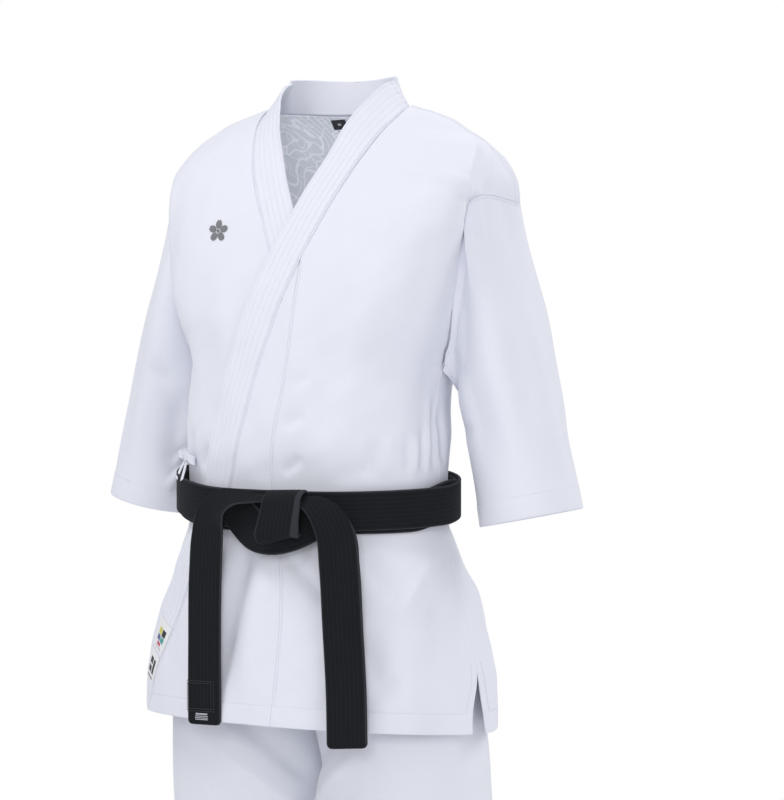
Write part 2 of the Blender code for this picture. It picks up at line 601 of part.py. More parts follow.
def belt():
    inner = 0.0109
    belt_loop("belt_wrap_inner", inner, inner + BELT_THICK, 0.004)
    belt_loop("belt_wrap_outer", inner + BELT_THICK + SEAM, inner + 2 * BELT_THICK + SEAM, 0.0)
    w = BELT_WIDTH
    ribbon("belt_knot_under", [
        ((-0.042, -0.1656, -0.461), (0.30, 0.0, 1.0), 0.040),
        ((-0.022, -0.1720, -0.474), (0.35, 0.10, 1.0), w),
        ((0.004, -0.1800, -0.488), (0.20, 0.22, 1.0), w),
        ((0.034, -0.1815, -0.488), (-0.10, 0.22, 1.0), w),
        ((0.062, -0.1740, -0.476), (-0.30, 0.10, 1.0), w),
        ((0.084, -0.1601, -0.464), (-0.30, -0.05, 1.0), 0.036),
    ], BELT_THICK, 22)
    ribbon("belt_knot_front", [
        ((0.0430, -0.1593, -0.4370), (1.0, 0.12, 0.0), 0.040),
        ((0.0430, -0.1730, -0.4350), (1.0, 0.04, 0.01), 0.043),
        ((0.0425, -0.1850, -0.4330), (1.0, 0.0, 0.03), 0.045),
        ((0.0415, -0.1945, -0.4400), (1.0, 0.0, 0.05), 0.046),
        ((0.0395, -0.1985, -0.4600), (1.0, 0.0, 0.13), 0.048),
        ((0.0370, -0.1990, -0.4800), (1.0, 0.0, 0.22), 0.051),
        ((0.0360, -0.1965, -0.4930), (1.0, 0.0, 0.26), 0.052),
        ((0.0370, -0.1885, -0.4985), (1.0, 0.0, 0.26), 0.050),
    ], BELT_THICK, 24)
    ribbon("belt_end_right", [
        ((0.022, -0.1835, -0.4480), (0.10, 0.80, 0.60), 0.010),
        ((-0.004, -0.1835, -0.4480), (0.10, 0.80, 0.60), 0.016),
        ((-0.026, -0.1850, -0.4480), (-0.10, 0.70, 0.70), 0.024),
        ((-0.045, -0.1860, -0.4540), (-0.45, 0.45, 0.75), 0.035),
        ((-0.060, -0.1835, -0.4710), (-0.85, 0.20, 0.45), 0.043),
        ((-0.0675, -0.1790, -0.4970), (-1.0, 0.10, 0.15), w),
        ((-0.0715, -0.1770, -0.5350), (-1.0, 0.05, 0.03), w),
        ((-0.0710, -0.1800, -0.6200), (-1.0, 0.02, 0.0), w),
        ((-0.0690, -0.1833, -0.7120), (-1.0, 0.02, 0.04), w),
    ], BELT_THICK, 34)
    ribbon("belt_end_left", [
        ((0.056, -0.1882, -0.4470), (0.35, 0.70, 0.45), 0.012),
        ((0.074, -0.1880, -0.4530), (0.62, 0.50, 0.35), 0.024),
        ((0.088, -0.1850, -0.4660), (0.85, 0.38, 0.10), 0.036),
        ((0.098, -0.1785, -0.4880), (0.93, 0.38, -0.06), 0.044),
        ((0.1045, -0.1740, -0.5200), (0.90, 0.42, -0.03), 0.046),
        ((0.1090, -0.1740, -0.5900), (0.90, 0.42, 0.0), 0.046),
        ((0.1150, -0.1770, -0.6600), (0.90, 0.42, 0.0), 0.046),
        ((0.1190, -0.1815, -0.7250), (0.90, 0.42, 0.0), 0.046),
    ], BELT_THICK, 32)


def side_tie():
    """Small bow at the wearer's right, just above the belt."""
    u, w = np.array(-0.61), np.array(0.316)
    out = unit(body_normal(u, w) * np.array([1, 1, 0]))
    side = np.array([-out[1], out[0], 0.0]) * -1
    base = body(u, w) + out * (WALL - 0.0010)
    up = np.array([0.0, 0.0, 1.0])

    def at(a, b, c):
        return tuple(base + side * a + up * b + out * c)

    wide = 0.009
    flat = tuple(up * 0.9 + out * 0.1)
    for name, s in (("side_tie_loop_front", 1), ("side_tie_loop_back", -1)):
        ribbon(name, [
            (at(s * 0.006, 0.0, 0.0075), flat, wide * 0.7), (at(s * 0.016, 0.003, 0.0095), flat, wide),
            (at(s * 0.028, 0.000, 0.0070), flat, wide), (at(s * 0.030, -0.003, 0.0030), flat, wide),
            (at(s * 0.016, -0.001, 0.0010), flat, wide), (at(s * 0.006, 0.0, 0.0020), flat, wide * 0.7),
        ], 0.0012, 16)
    for name, s in (("side_tie_tail_front", 1), ("side_tie_tail_back", -1)):
        ribbon(name, [
            (at(s * 0.0045, -0.0060, 0.0070), tuple(side), wide * 0.6), (at(s * 0.010, -0.014, 0.0100), tuple(side), wide),
            (at(s * 0.014, -0.026, 0.0142), tuple(side), wide),
        ], 0.0012, 7)
    ribbon("side_tie_knot", [
        (at(0, -0.0050, 0.0045), tuple(side), 0.0080), (at(0, 0.0, 0.0050), tuple(side), 0.0090),
        (at(0, 0.0050, 0.0045), tuple(side), 0.0080),
    ], 0.0060, 5)


def main():
    for obj in list(bpy.data.objects):
        bpy.data.objects.remove(obj)
    fronts()
    back()
    collar()
    sleeves()
    trousers()
    lining()
    hem_labels()
    belt()
    side_tie()


main()
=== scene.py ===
"""Karate uniform as worn: wrap jacket, tied belt and trousers, each piece of cloth laid over its solid.

Wearer's frame in metres: front faces -Y, wearer's left is +X, up is +Z. A place on the jacket's body is named
by u, from the wearer's right side (-1) to the left (1), and w, up the cloth from the front hem over the
shoulder to the back hem. Folds, seams and stitches are all placed in these terms.
"""
import math

import bpy
import numpy as np
from mathutils import Matrix, Vector


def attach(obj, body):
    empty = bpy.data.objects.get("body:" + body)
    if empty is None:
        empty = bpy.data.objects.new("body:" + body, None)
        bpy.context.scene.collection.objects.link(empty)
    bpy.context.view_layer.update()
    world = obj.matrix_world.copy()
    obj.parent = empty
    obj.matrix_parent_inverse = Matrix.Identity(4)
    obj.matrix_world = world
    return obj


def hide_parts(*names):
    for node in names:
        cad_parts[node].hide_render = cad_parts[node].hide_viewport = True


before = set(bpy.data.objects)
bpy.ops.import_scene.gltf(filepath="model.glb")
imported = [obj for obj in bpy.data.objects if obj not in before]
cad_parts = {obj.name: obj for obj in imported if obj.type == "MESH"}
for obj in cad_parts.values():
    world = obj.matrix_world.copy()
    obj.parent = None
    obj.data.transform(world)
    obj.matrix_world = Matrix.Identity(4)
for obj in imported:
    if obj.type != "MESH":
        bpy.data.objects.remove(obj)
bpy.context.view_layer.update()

WALL = 0.0020
BAND_WIDTH = 0.042
BAND_LOW, BAND_HIGH = -0.0003, 0.0032
BAND_ROWS = 6
BAND_TURN = 14
LINING_LOW, LINING_HIGH = -0.0040, -0.0028
OVER_LIFT = 0.0052
BELT_WIDTH = 0.045
BELT_THICK = 0.0034
BELT_INNER = 0.0109
BELT_SEAM = 0.0006
BELT_ROWS = 9
RIDGE = 0.780
BODY_END = 2 * RIDGE
ARMPIT = 0.432
SEAM = 0.00012
CELL = 0.0046
JACKET_HEM = 0.024
CREST_ROUND = 0.0012
TIP_ROUND = 0.0060
CUFF_HEM = 0.026
TROUSER_HEM = 0.034
STITCH_PITCH = 0.0033

# Body of the jacket. One row per level; h is the distance up the cloth from the hem.
LEVELS = [
    # h, side_front xyz, side_back xyz, front yz, back yz, squareness front, back
    (0.000, (0.215, -0.030, -0.722), (0.215, -0.030, -0.722), (-0.178, -0.708), (0.112, -0.722), 2.1, 2.1),
    (0.080, (0.202, -0.030, -0.645), (0.202, -0.030, -0.645), (-0.172, -0.630), (0.106, -0.645), 2.1, 2.1),
    (0.160, (0.184, -0.034, -0.565), (0.184, -0.034, -0.565), (-0.163, -0.556), (0.092, -0.560), 2.1, 2.1),
    (0.205, (0.172, -0.041, -0.518), (0.172, -0.041, -0.518), (-0.156, -0.516), (0.074, -0.508), 2.1, 2.1),
    (0.236, (0.161, -0.045, -0.487), (0.161, -0.045, -0.487), (-0.149, -0.491), (0.064, -0.473), 2.1, 2.1),
    (0.265, (0.160, -0.045, -0.458), (0.160, -0.045, -0.458), (-0.148, -0.462), (0.063, -0.444), 2.1, 2.1),
    (0.294, (0.161, -0.045, -0.429), (0.161, -0.045, -0.429), (-0.149, -0.433), (0.064, -0.415), 2.1, 2.1),
    (0.335, (0.160, -0.046, -0.388), (0.160, -0.046, -0.388), (-0.154, -0.393), (0.074, -0.373), 2.2, 2.2),
    (0.385, (0.157, -0.044, -0.342), (0.157, -0.044, -0.342), (-0.151, -0.340), (0.082, -0.326), 2.3, 2.3),
    (0.424, (0.1537, -0.033, -0.3095), (0.1537, -0.033, -0.3095), (-0.146, -0.298), (0.091, -0.287), 2.5, 2.4),
    (0.432, (0.153, -0.030, -0.303), (0.153, -0.030, -0.303), (-0.145, -0.290), (0.093, -0.279), 2.6, 2.4),
    (0.490, (0.171, -0.038, -0.250), (0.170, 0.022, -0.250), (-0.137, -0.235), (0.101, -0.224), 3.0, 2.6),
    (0.550, (0.185, -0.044, -0.186), (0.186, 0.054, -0.195), (-0.123, -0.178), (0.105, -0.166), 3.2, 2.7),
    (0.620, (0.195, -0.046, -0.118), (0.197, 0.068, -0.146), (-0.100, -0.112), (0.100, -0.104), 3.0, 2.6),
    (0.680, (0.208, -0.031, -0.104), (0.211, 0.058, -0.120), (-0.070, -0.056), (0.078, -0.055), 2.4, 2.3),
    (0.730, (0.221, -0.008, -0.106), (0.226, 0.036, -0.113), (-0.036, -0.012), (0.047, -0.003), 2.1, 2.1),
    (0.780, (0.234, 0.014, -0.112), (0.234, 0.014, -0.112), (0.004, 0.013), (0.004, 0.013), 2.0, 2.0),
]
# Seam between the fronts and the collar band: h up the cloth, u for the over and, mirrored, the under front.
BAND_SEAM = [
    (0.000, -0.640, -0.400), (0.060, -0.560, -0.390), (0.120, -0.470, -0.370), (0.180, -0.395, -0.340),
    (0.250, -0.262, -0.250), (0.323, -0.165, -0.165), (0.400, -0.080, -0.080), (0.456, -0.015, -0.015),
    (0.554, 0.100, 0.056), (0.587, 0.140, 0.102), (0.630, 0.186, 0.164), (0.663, 0.222, 0.203),
    (0.701, 0.256, 0.238), (0.740, 0.276, 0.262), (0.780, 0.276, 0.262),
]
BACK_NECK_DROP = 0.048
BAND_LEAN = [(0.000, 0), (0.580, 0), (0.630, 3), (0.680, 10), (0.730, 22), (0.780, 40)]
SHOULDER_LEAN, BACK_NECK_LEAN = 40, 60
# Straight seam of each front, from the band down to the hem: h, over front, under front.
FRONT_SEAM = [
    (0.000, 0.058, 0.058), (0.160, 0.084, 0.070), (0.310, 0.018, 0.030), (0.436, 0.091, 0.066), (0.548, 0.094, 0.050),
]
FRONT_SEAM_TOP = 0.548
# Sleeve sections from the armhole to the cuff.
SLEEVE = [
    # v, inner x, z, outer x, z, front y, back y
    (0.00, 0.153, -0.303, 0.234, -0.112, -0.046, 0.072),
    (0.12, 0.162, -0.322, 0.242, -0.160, -0.048, 0.078),
    (0.30, 0.169, -0.349, 0.261, -0.235, -0.051, 0.077),
    (0.50, 0.178, -0.384, 0.279, -0.308, -0.049, 0.072),
    (0.75, 0.189, -0.434, 0.296, -0.385, -0.047, 0.064),
    (1.00, 0.200, -0.486, 0.314, -0.462, -0.050, 0.060),
]
# Trouser legs: half sections above the crotch, whole ones below it.
LEGS = [
    # z, front y, back y, outer x, squareness
    (-0.468, -0.1468, 0.0618, 0.1588, 2.1), (-0.520, -0.1460, 0.0635, 0.1600, 2.1), (-0.600, -0.140, 0.084, 0.178, 2.3),
    (-0.680, -0.136, 0.092, 0.194, 2.3), (-0.740, -0.126, 0.092, 0.200, 2.2), (-0.800, -0.117, 0.090, 0.202, 2.1),
    (-0.900, -0.113, 0.088, 0.202, 2.0), (-1.100, -0.110, 0.087, 0.200, 2.0), (-1.300, -0.108, 0.086, 0.199, 2.0),
    (-1.390, -0.107, 0.086, 0.199, 2.0),
]
TROUSER_TOP, CROTCH_Z, TROUSER_END = -0.468, -0.800, -1.390
CROTCH_Y = -0.012

# Folds drawn one by one. Each has a kind, a height in millimetres (below zero it is a trough), how far it spreads
# to its left and right in millimetres, and its route. A fold is rounded; a crest has a sharp line along its top.
BODY_FOLDS = [
    ("crest", 12.0, 46, 11, ((0.585, 0.776), (0.680, 0.722), (0.760, 0.672), (0.838, 0.636))),
    ("crest", 7.5, 48, 13, ((0.800, 0.668), (0.850, 0.622), (0.882, 0.560))),
    ("fold", -3.5, 9, 12, ((0.855, 0.640), (0.890, 0.680), (0.915, 0.725))),
    ("fold", 4.0, 7, 10, ((0.838, 0.634), (0.890, 0.662), (0.960, 0.690))),
    ("fold", -3.0, 7, 10, ((0.850, 0.618), (0.900, 0.640), (0.970, 0.655))),
    ("crest", 3.5, 18, 40, ((-0.900, 0.500), (-0.880, 0.560), (-0.850, 0.615), (-0.780, 0.680), (-0.640, 0.765))),
    ("fold", -6.0, 22, 22, ((-0.990, 0.540), (-0.970, 0.600), (-0.940, 0.660), (-0.920, 0.720))),
    ("fold", 12.0, 24, 26, ((-0.900, 0.495), (-0.910, 0.440), (-0.920, 0.385))),
    ("fold", -3.0, 10, 14, ((-0.86, 0.640), (-0.90, 0.690), (-0.93, 0.720))),
    ("fold", -2.8, 16, 24, ((0.640, 0.640), (0.610, 0.540), (0.600, 0.440), (0.560, 0.370))),
    ("fold", 2.6, 18, 24, ((0.460, 0.600), (0.420, 0.500), (0.400, 0.400), (0.420, 0.330))),
    ("fold", -2.2, 14, 20, ((0.290, 0.560), (0.270, 0.470), (0.280, 0.390), (0.300, 0.330))),
    ("fold", -3.0, 16, 22, ((-0.360, 0.560), (-0.400, 0.480), (-0.390, 0.400), (-0.350, 0.340))),
    ("fold", 2.8, 14, 18, ((-0.560, 0.560), (-0.560, 0.470), (-0.520, 0.390))),
    ("fold", -2.6, 12, 20, ((-0.640, 0.700), (-0.600, 0.620), (-0.620, 0.540))),
    ("fold", -3.4, 5, 8, ((0.080, 0.303), (0.125, 0.315), (0.190, 0.328))),
    ("fold", -2.6, 5, 8, ((0.095, 0.355), (0.140, 0.364), (0.210, 0.370))),
    ("fold", -2.2, 5, 9, ((0.120, 0.398), (0.160, 0.404), (0.220, 0.414))),
    ("fold", -3.8, 5, 7, ((0.690, 0.300), (0.705, 0.322), (0.700, 0.355))),
    ("fold", 2.8, 5, 6, ((0.745, 0.300), (0.765, 0.325), (0.775, 0.352))),
    ("fold", -4.2, 5, 7, ((0.815, 0.300), (0.835, 0.325), (0.850, 0.362))),
    ("fold", -4.4, 7, 8, ((0.935, 0.298), (0.955, 0.340), (0.975, 0.400))),
    ("fold", 3.4, 6, 8, ((0.885, 0.300), (0.900, 0.345), (0.925, 0.405))),
    ("fold", -3.2, 6, 8, ((0.480, 0.300), (0.500, 0.322), (0.540, 0.350))),
    ("fold", 2.4, 6, 8, ((0.560, 0.300), (0.590, 0.325), (0.600, 0.352))),
    ("fold", -3.2, 5, 7, ((-0.420, 0.300), (-0.400, 0.318), (-0.350, 0.336))),
    ("fold", -3.6, 5, 7, ((-0.560, 0.300), (-0.540, 0.326), (-0.500, 0.352))),
    ("fold", -4.0, 6, 7, ((-0.740, 0.298), (-0.760, 0.330), (-0.800, 0.374))),
    ("fold", -4.0, 6, 8, ((-0.900, 0.298), (-0.920, 0.345), (-0.960, 0.405))),
    ("fold", -14.0, 14, 18, ((-0.105, 0.228), (-0.118, 0.190), (-0.134, 0.145), (-0.150, 0.090), (-0.152, 0.010))),
    ("fold", 5.0, 14, 16, ((-0.235, 0.215), (-0.245, 0.150), (-0.255, 0.070), (-0.260, -0.01))),
    ("fold", 5.5, 13, 22, ((-0.020, 0.205), (-0.030, 0.140), (-0.034, 0.070), (-0.024, 0.000))),
    ("crest", -6.0, 6, 15, ((0.070, 0.222), (0.120, 0.198), (0.185, 0.181), (0.245, 0.160), (0.300, 0.124))),
    ("fold", 4.6, 12, 14, ((0.170, 0.205), (0.230, 0.188), (0.290, 0.165))),
    ("fold", -6.0, 12, 17, ((0.420, 0.226), (0.490, 0.184), (0.555, 0.160), (0.610, 0.150))),
    ("crest", 7.0, 18, 15, ((0.540, 0.132), (0.620, 0.158), (0.720, 0.186), (0.880, 0.222))),
    ("fold", -5.0, 11, 16, ((0.395, 0.124), (0.430, 0.082), (0.475, 0.054), (0.560, 0.056))),
    ("fold", 5.0, 20, 24, ((0.560, 0.130), (0.580, 0.070), (0.600, -0.01))),
    ("fold", -5.5, 18, 22, ((0.740, 0.170), (0.780, 0.100), (0.800, -0.01))),
    ("fold", -5.0, 16, 20, ((-0.420, 0.190), (-0.470, 0.120), (-0.520, 0.040))),
    ("fold", 5.0, 18, 20, ((-0.640, 0.180), (-0.700, 0.100), (-0.740, 0.000))),
    ("fold", -5.0, 16, 18, ((-0.860, 0.190), (-0.880, 0.100), (-0.900, 0.000))),
    ("crest", 7.0, 44, 18, ((0.985, 1.160), (0.950, 1.100), (0.915, 1.040), (0.850, 0.950), (0.740, 0.870))),
    ("crest", 7.0, 18, 44, ((-0.985, 1.160), (-0.950, 1.105), (-0.915, 1.045), (-0.860, 0.960), (-0.750, 0.875))),
    ("fold", -4.9, 14, 20, ((0.620, 0.960), (0.560, 1.060), (0.580, 1.160), (0.620, 1.230))),
    ("fold", 4.1, 16, 20, ((0.400, 0.940), (0.360, 1.040), (0.380, 1.140), (0.360, 1.230))),
    ("fold", -4.3, 14, 18, ((0.140, 1.000), (0.100, 1.090), (0.130, 1.180), (0.100, 1.240))),
    ("fold", 3.8, 15, 18, ((-0.160, 0.980), (-0.180, 1.080), (-0.150, 1.170), (-0.180, 1.240))),
    ("fold", -4.6, 14, 20, ((-0.420, 0.970), (-0.460, 1.070), (-0.430, 1.150), (-0.460, 1.235))),
    ("fold", 3.8, 14, 18, ((-0.680, 1.000), (-0.700, 1.090), (-0.680, 1.180))),
    ("fold", -3.8, 5, 7, ((0.820, 1.258), (0.800, 1.235), (0.760, 1.205))),
    ("fold", -3.5, 5, 7, ((0.460, 1.260), (0.480, 1.236), (0.520, 1.212))),
    ("fold", -3.8, 6, 7, ((0.240, 1.260), (0.230, 1.232), (0.200, 1.200))),
    ("fold", -3.2, 5, 7, ((-0.050, 1.260), (-0.040, 1.240), (0.000, 1.216))),
    ("fold", -3.8, 5, 8, ((-0.320, 1.260), (-0.340, 1.234), (-0.380, 1.204))),
    ("fold", -3.5, 6, 7, ((-0.600, 1.260), (-0.580, 1.240), (-0.530, 1.214))),
    ("fold", -4.1, 6, 8, ((-0.880, 1.262), (-0.900, 1.222), (-0.930, 1.170))),
    ("fold", -4.1, 6, 8, ((0.930, 1.262), (0.940, 1.222), (0.965, 1.170))),
    ("fold", 8.1, 22, 26, ((0.700, 1.370), (0.740, 1.450), (0.760, 1.570))),
    ("fold", -8.1, 20, 24, ((0.440, 1.350), (0.450, 1.440), (0.430, 1.570))),
    ("fold", 8.1, 22, 24, ((0.150, 1.370), (0.130, 1.460), (0.150, 1.570))),
    ("fold", -7.4, 18, 24, ((-0.140, 1.350), (-0.150, 1.450), (-0.120, 1.570))),
    ("fold", 7.4, 20, 26, ((-0.420, 1.365), (-0.440, 1.460), (-0.430, 1.570))),
    ("fold", -7.4, 18, 24, ((-0.700, 1.350), (-0.720, 1.450), (-0.740, 1.570))),
]
# Folds of the sleeves: theta 0 at the armpit, 0.5 front, 1 outside, 1.5 back; v from the armhole to the cuff.
LEFT_SLEEVE_FOLDS = [
    ("fold", -5.5, 12, 24, ((0.400, 0.03), (0.390, 0.20), (0.410, 0.45), (0.430, 0.80))),
    ("fold", 3.5, 14, 18, ((0.600, 0.12), (0.590, 0.35), (0.600, 0.60), (0.620, 0.90))),
    ("fold", -2.8, 12, 16, ((0.740, 0.15), (0.760, 0.40), (0.750, 0.72))),
    ("fold", 2.6, 14, 14, ((0.900, 0.20), (0.900, 0.50), (0.930, 0.95))),
    ("fold", -2.4, 12, 14, ((1.060, 0.30), (1.050, 0.60), (1.040, 0.95))),
    ("fold", -2.5, 9, 14, ((0.220, 0.17), (0.290, 0.24), (0.380, 0.28))),
    ("fold", -3.0, 8, 12, ((0.120, 0.42), (0.240, 0.50), (0.360, 0.52))),
    ("fold", 3.4, 14, 18, ((1.250, 0.10), (1.280, 0.40), (1.270, 0.85))),
    ("fold", -4.0, 13, 18, ((1.450, 0.06), (1.470, 0.35), (1.450, 0.75))),
    ("fold", 3.0, 14, 16, ((1.640, 0.15), (1.650, 0.50), (1.640, 0.95))),
    ("fold", -3.4, 9, 12, ((1.900, 0.16), (1.800, 0.26), (1.680, 0.30))),
    ("fold", -3.0, 8, 12, ((1.920, 0.50), (1.800, 0.58), (1.660, 0.60))),
]
RIGHT_SLEEVE_FOLDS = [
    ("fold", 6.0, 20, 20, ((0.420, 0.04), (0.460, 0.20), (0.480, 0.38))),
    ("fold", 3.0, 16, 16, ((0.560, 0.10), (0.560, 0.45), (0.600, 0.95))),
    ("fold", -2.4, 14, 14, ((0.720, 0.20), (0.740, 0.55), (0.760, 0.95))),
    ("fold", 2.4, 14, 14, ((0.900, 0.10), (0.890, 0.50), (0.900, 0.95))),
    ("fold", -8.0, 13, 17, ((0.330, 0.34), (0.300, 0.60), (0.280, 0.86))),
    ("fold", -4.2, 4, 6, ((0.100, 0.600), (0.200, 0.640), (0.300, 0.720))),
    ("fold", 3.6, 4, 5, ((0.120, 0.640), (0.210, 0.690), (0.280, 0.780))),
    ("fold", -4.2, 4, 6, ((0.130, 0.690), (0.220, 0.740), (0.300, 0.840))),
    ("fold", 3.4, 4, 5, ((0.160, 0.740), (0.240, 0.800), (0.290, 0.890))),
    ("fold", -4.0, 4, 5, ((0.100, 0.780), (0.190, 0.830), (0.260, 0.920))),
    ("fold", -3.2, 4, 5, ((0.240, 0.620), (0.220, 0.720), (0.170, 0.800))),
    ("fold", 3.2, 14, 18, ((1.250, 0.10), (1.260, 0.45), (1.270, 0.90))),
    ("fold", -3.8, 13, 18, ((1.480, 0.08), (1.450, 0.40), (1.460, 0.80))),
    ("fold", 3.0, 14, 16, ((1.660, 0.20), (1.640, 0.55), (1.650, 0.95))),
    ("fold", -3.2, 8, 12, ((1.880, 0.30), (1.780, 0.38), (1.660, 0.40))),
]
# Folds of the trouser legs: theta 0 at the inner front, 0.5 outside, 1 at the inner back; z in metres.
LEG_FOLDS = [
    ("fold", -8.0, 12, 18, ((0.050, -0.790), (0.120, -0.745), (0.200, -0.680))),
    ("crest", 7.0, 14, 16, ((0.060, -0.835), (0.140, -0.795), (0.240, -0.735))),
    ("fold", -8.0, 14, 18, ((0.110, -0.850), (0.150, -0.950), (0.160, -1.080))),
    ("fold", 7.2, 16, 18, ((0.250, -0.760), (0.255, -0.920), (0.250, -1.120), (0.255, -1.330))),
    ("fold", -7.2, 14, 18, ((0.380, -0.800), (0.370, -0.950), (0.375, -1.100))),
    ("fold", -4.8, 8, 12, ((0.130, -1.010), (0.220, -1.040), (0.330, -1.030))),
    ("fold", -4.8, 8, 12, ((0.430, -1.060), (0.340, -1.095), (0.220, -1.110))),
    ("fold", 4.8, 9, 12, ((0.120, -1.130), (0.230, -1.150), (0.340, -1.140))),
    ("fold", -5.8, 9, 14, ((0.150, -1.260), (0.260, -1.300), (0.360, -1.290))),
    ("fold", 4.8, 10, 12, ((0.380, -1.240), (0.300, -1.270), (0.200, -1.285))),
    ("fold", -4.8, 12, 14, ((0.450, -1.150), (0.440, -1.260), (0.450, -1.400))),
    ("fold", 5.8, 14, 18, ((0.560, -0.780), (0.570, -1.000), (0.560, -1.350))),
    ("fold", -8.0, 16, 20, ((0.690, -0.760), (0.700, -0.950), (0.690, -1.180))),
    ("fold", 7.2, 16, 18, ((0.790, -0.800), (0.790, -1.050), (0.780, -1.360))),
    ("fold", -7.2, 12, 16, ((0.960, -0.800), (0.890, -0.770), (0.800, -0.700))),
    ("fold", -5.8, 9, 12, ((0.900, -1.030), (0.790, -1.060), (0.660, -1.040))),
    ("fold", -5.4, 9, 12, ((0.620, -1.090), (0.740, -1.120), (0.870, -1.110))),
    ("fold", -5.4, 10, 12, ((0.900, -1.270), (0.780, -1.310), (0.640, -1.300))),
    ("crest", 5.0, 12, 16, ((0.180, -1.300), (0.270, -1.330), (0.370, -1.318))),
    ("crest", 5.0, 12, 16, ((0.860, -1.300), (0.760, -1.335), (0.640, -1.325))),
    ("crest", 4.5, 10, 16, ((0.160, -1.060), (0.260, -1.075), (0.350, -1.062))),
    ("crest", 4.5, 10, 16, ((0.840, -1.080), (0.740, -1.094), (0.650, -1.078))),
]


def smooth_columns(knots, values, at):
    """Smooth curve through the rows of a table: cubic pieces, slopes taken from the neighbours."""
    knots = np.asarray(knots, float)
    values = np.asarray(values, float)
    at = np.clip(np.asarray(at, float), knots[0], knots[-1])
    step = np.diff(knots)
    rise = np.diff(values, axis=0) / step[:, None]
    slope = np.zeros_like(values)
    slope[0], slope[-1] = rise[0], rise[-1]
    slope[1:-1] = (rise[:-1] * step[1:, None] + rise[1:] * step[:-1, None]) / (step[1:] + step[:-1])[:, None]
    i = np.clip(np.searchsorted(knots, at, side="right") - 1, 0, len(knots) - 2)
    s = ((at - knots[i]) / step[i])[..., None]
    d = step[i][..., None]
    return (values[i] * (2 * s**3 - 3 * s**2 + 1) + slope[i] * d * (s**3 - 2 * s**2 + s)
            + values[i + 1] * (3 * s**2 - 2 * s**3) + slope[i + 1] * d * (s**3 - s**2))


def column(table, index, at):
    rows = np.array(table, float)
    return smooth_columns(rows[:, 0], rows[:, index:index + 1], at)[..., 0]


def ease(x, a=0.0, b=1.0):
    t = np.clip((np.asarray(x, float) - a) / (b - a), 0, 1)
    return t * t * (3 - 2 * t)


def unit(v):
    return v / np.maximum(np.linalg.norm(v, axis=-1, keepdims=True), 1e-12)


def body_table():
    rows = [(h, *sf, *f, nf) for h, sf, sb, f, b, nf, nb in LEVELS]
    rows += [(BODY_END - h, *sb, *b, nb) for h, sf, sb, f, b, nf, nb in reversed(LEVELS[:-1])]
    return np.array(rows)


ROWS = body_table()


def body(u, w):
    """Smooth form of the jacket's body, before any fold."""
    u, w = np.broadcast_arrays(np.asarray(u, float), np.asarray(w, float))
    c = smooth_columns(ROWS[:, 0], ROWS[:, 1:], w)
    xs, ys, zs, ym, zm, n = (c[..., k] for k in range(6))
    a = u * (math.pi / 2)
    sn, cs = np.sin(a), np.maximum(np.cos(a), 0)
    r = (np.abs(sn) ** n + cs**n) ** (-1 / n)
    s, q = sn * r, cs * r
    return np.stack([xs * s, ys + (ym - ys) * q, zs + (zm - zs) * q], -1)


def body_tangents(u, w):
    e = 0.002
    u0, u1 = np.maximum(u - e, -1), np.minimum(u + e, 1)
    w0, w1 = np.maximum(w - e, 0), np.minimum(w + e, BODY_END)
    pu = (body(u1, w) - body(u0, w)) / (u1 - u0)[..., None]
    pw = (body(u, w1) - body(u, w0)) / (w1 - w0)[..., None]
    return pu, pw


def body_normal(u, w):
    u, w = np.broadcast_arrays(np.asarray(u, float), np.asarray(w, float))
    pu, pw = body_tangents(u, w)
    return unit(np.cross(pu, pw))


def over_lift(u, w):
    """How far the over front stands off the body because the under front lies beneath it."""
    side = 1 - ease(u, 0.66, 0.96)
    up = 1 - ease(w, 0.600, 0.730)
    corner = 0.004 * ease(-u, 0.50, 0.95) * ease(0.20 - w, 0.0, 0.20)
    return OVER_LIFT * side * up + corner


def armhole(theta):
    """Armhole seam, theta 0 at the armpit, rising up the front to 1 at the top, down the back to 2."""
    theta = np.asarray(theta, float)
    w = ARMPIT + (RIDGE - ARMPIT) * theta
    return body(np.ones_like(w), w), w


def sleeve(theta, v):
    """Smooth form of the wearer's left sleeve: theta as at the armhole, v from 0 there to 1 at the cuff."""
    theta, v = np.broadcast_arrays(np.asarray(theta, float), np.asarray(v, float))
    rows = np.array(SLEEVE)
    c = smooth_columns(rows[:, 0], rows[:, 1:], v)
    xi, zi, xo, zo, yf, yb = (c[..., k] for k in range(6))
    a = theta * math.pi
    mid = np.stack([(xi + xo) / 2, (yf + yb) / 2, (zi + zo) / 2], -1)
    out = np.stack([(xo - xi) / 2, 0 * xi, (zo - zi) / 2], -1)
    ring = mid - out * np.cos(a)[..., None]
    ring[..., 1] += -(yb - yf) / 2 * np.sin(a)
    seam, _ = armhole(theta)
    first = rows[0, 1:]
    drift_in = np.stack([xi - first[0], 0 * xi, zi - first[1]], -1)
    drift_out = np.stack([xo - first[2], 0 * xo, zo - first[3]], -1)
    mix = ((1 - np.cos(a)) / 2)[..., None]
    near_armpit = 1 - ease(np.minimum(theta, 2 - theta), 0.0, 0.34)
    seam = seam + np.stack([0.0050 * near_armpit, 0 * near_armpit, -0.0010 * near_armpit], -1)
    moved = seam + drift_in * (1 - mix) + drift_out * mix
    b = ease(v, 0.0, 0.34)[..., None]
    return moved * (1 - b) + ring * b


def grid_normal(p, closed=False):
    """Normals of a grid of points, rows by columns; closed says that the columns go all round."""
    if closed:
        du = np.roll(p, -1, 1) - np.roll(p, 1, 1)
    else:
        du = np.gradient(p, axis=1)
    return unit(np.cross(du, np.gradient(p, axis=0)))


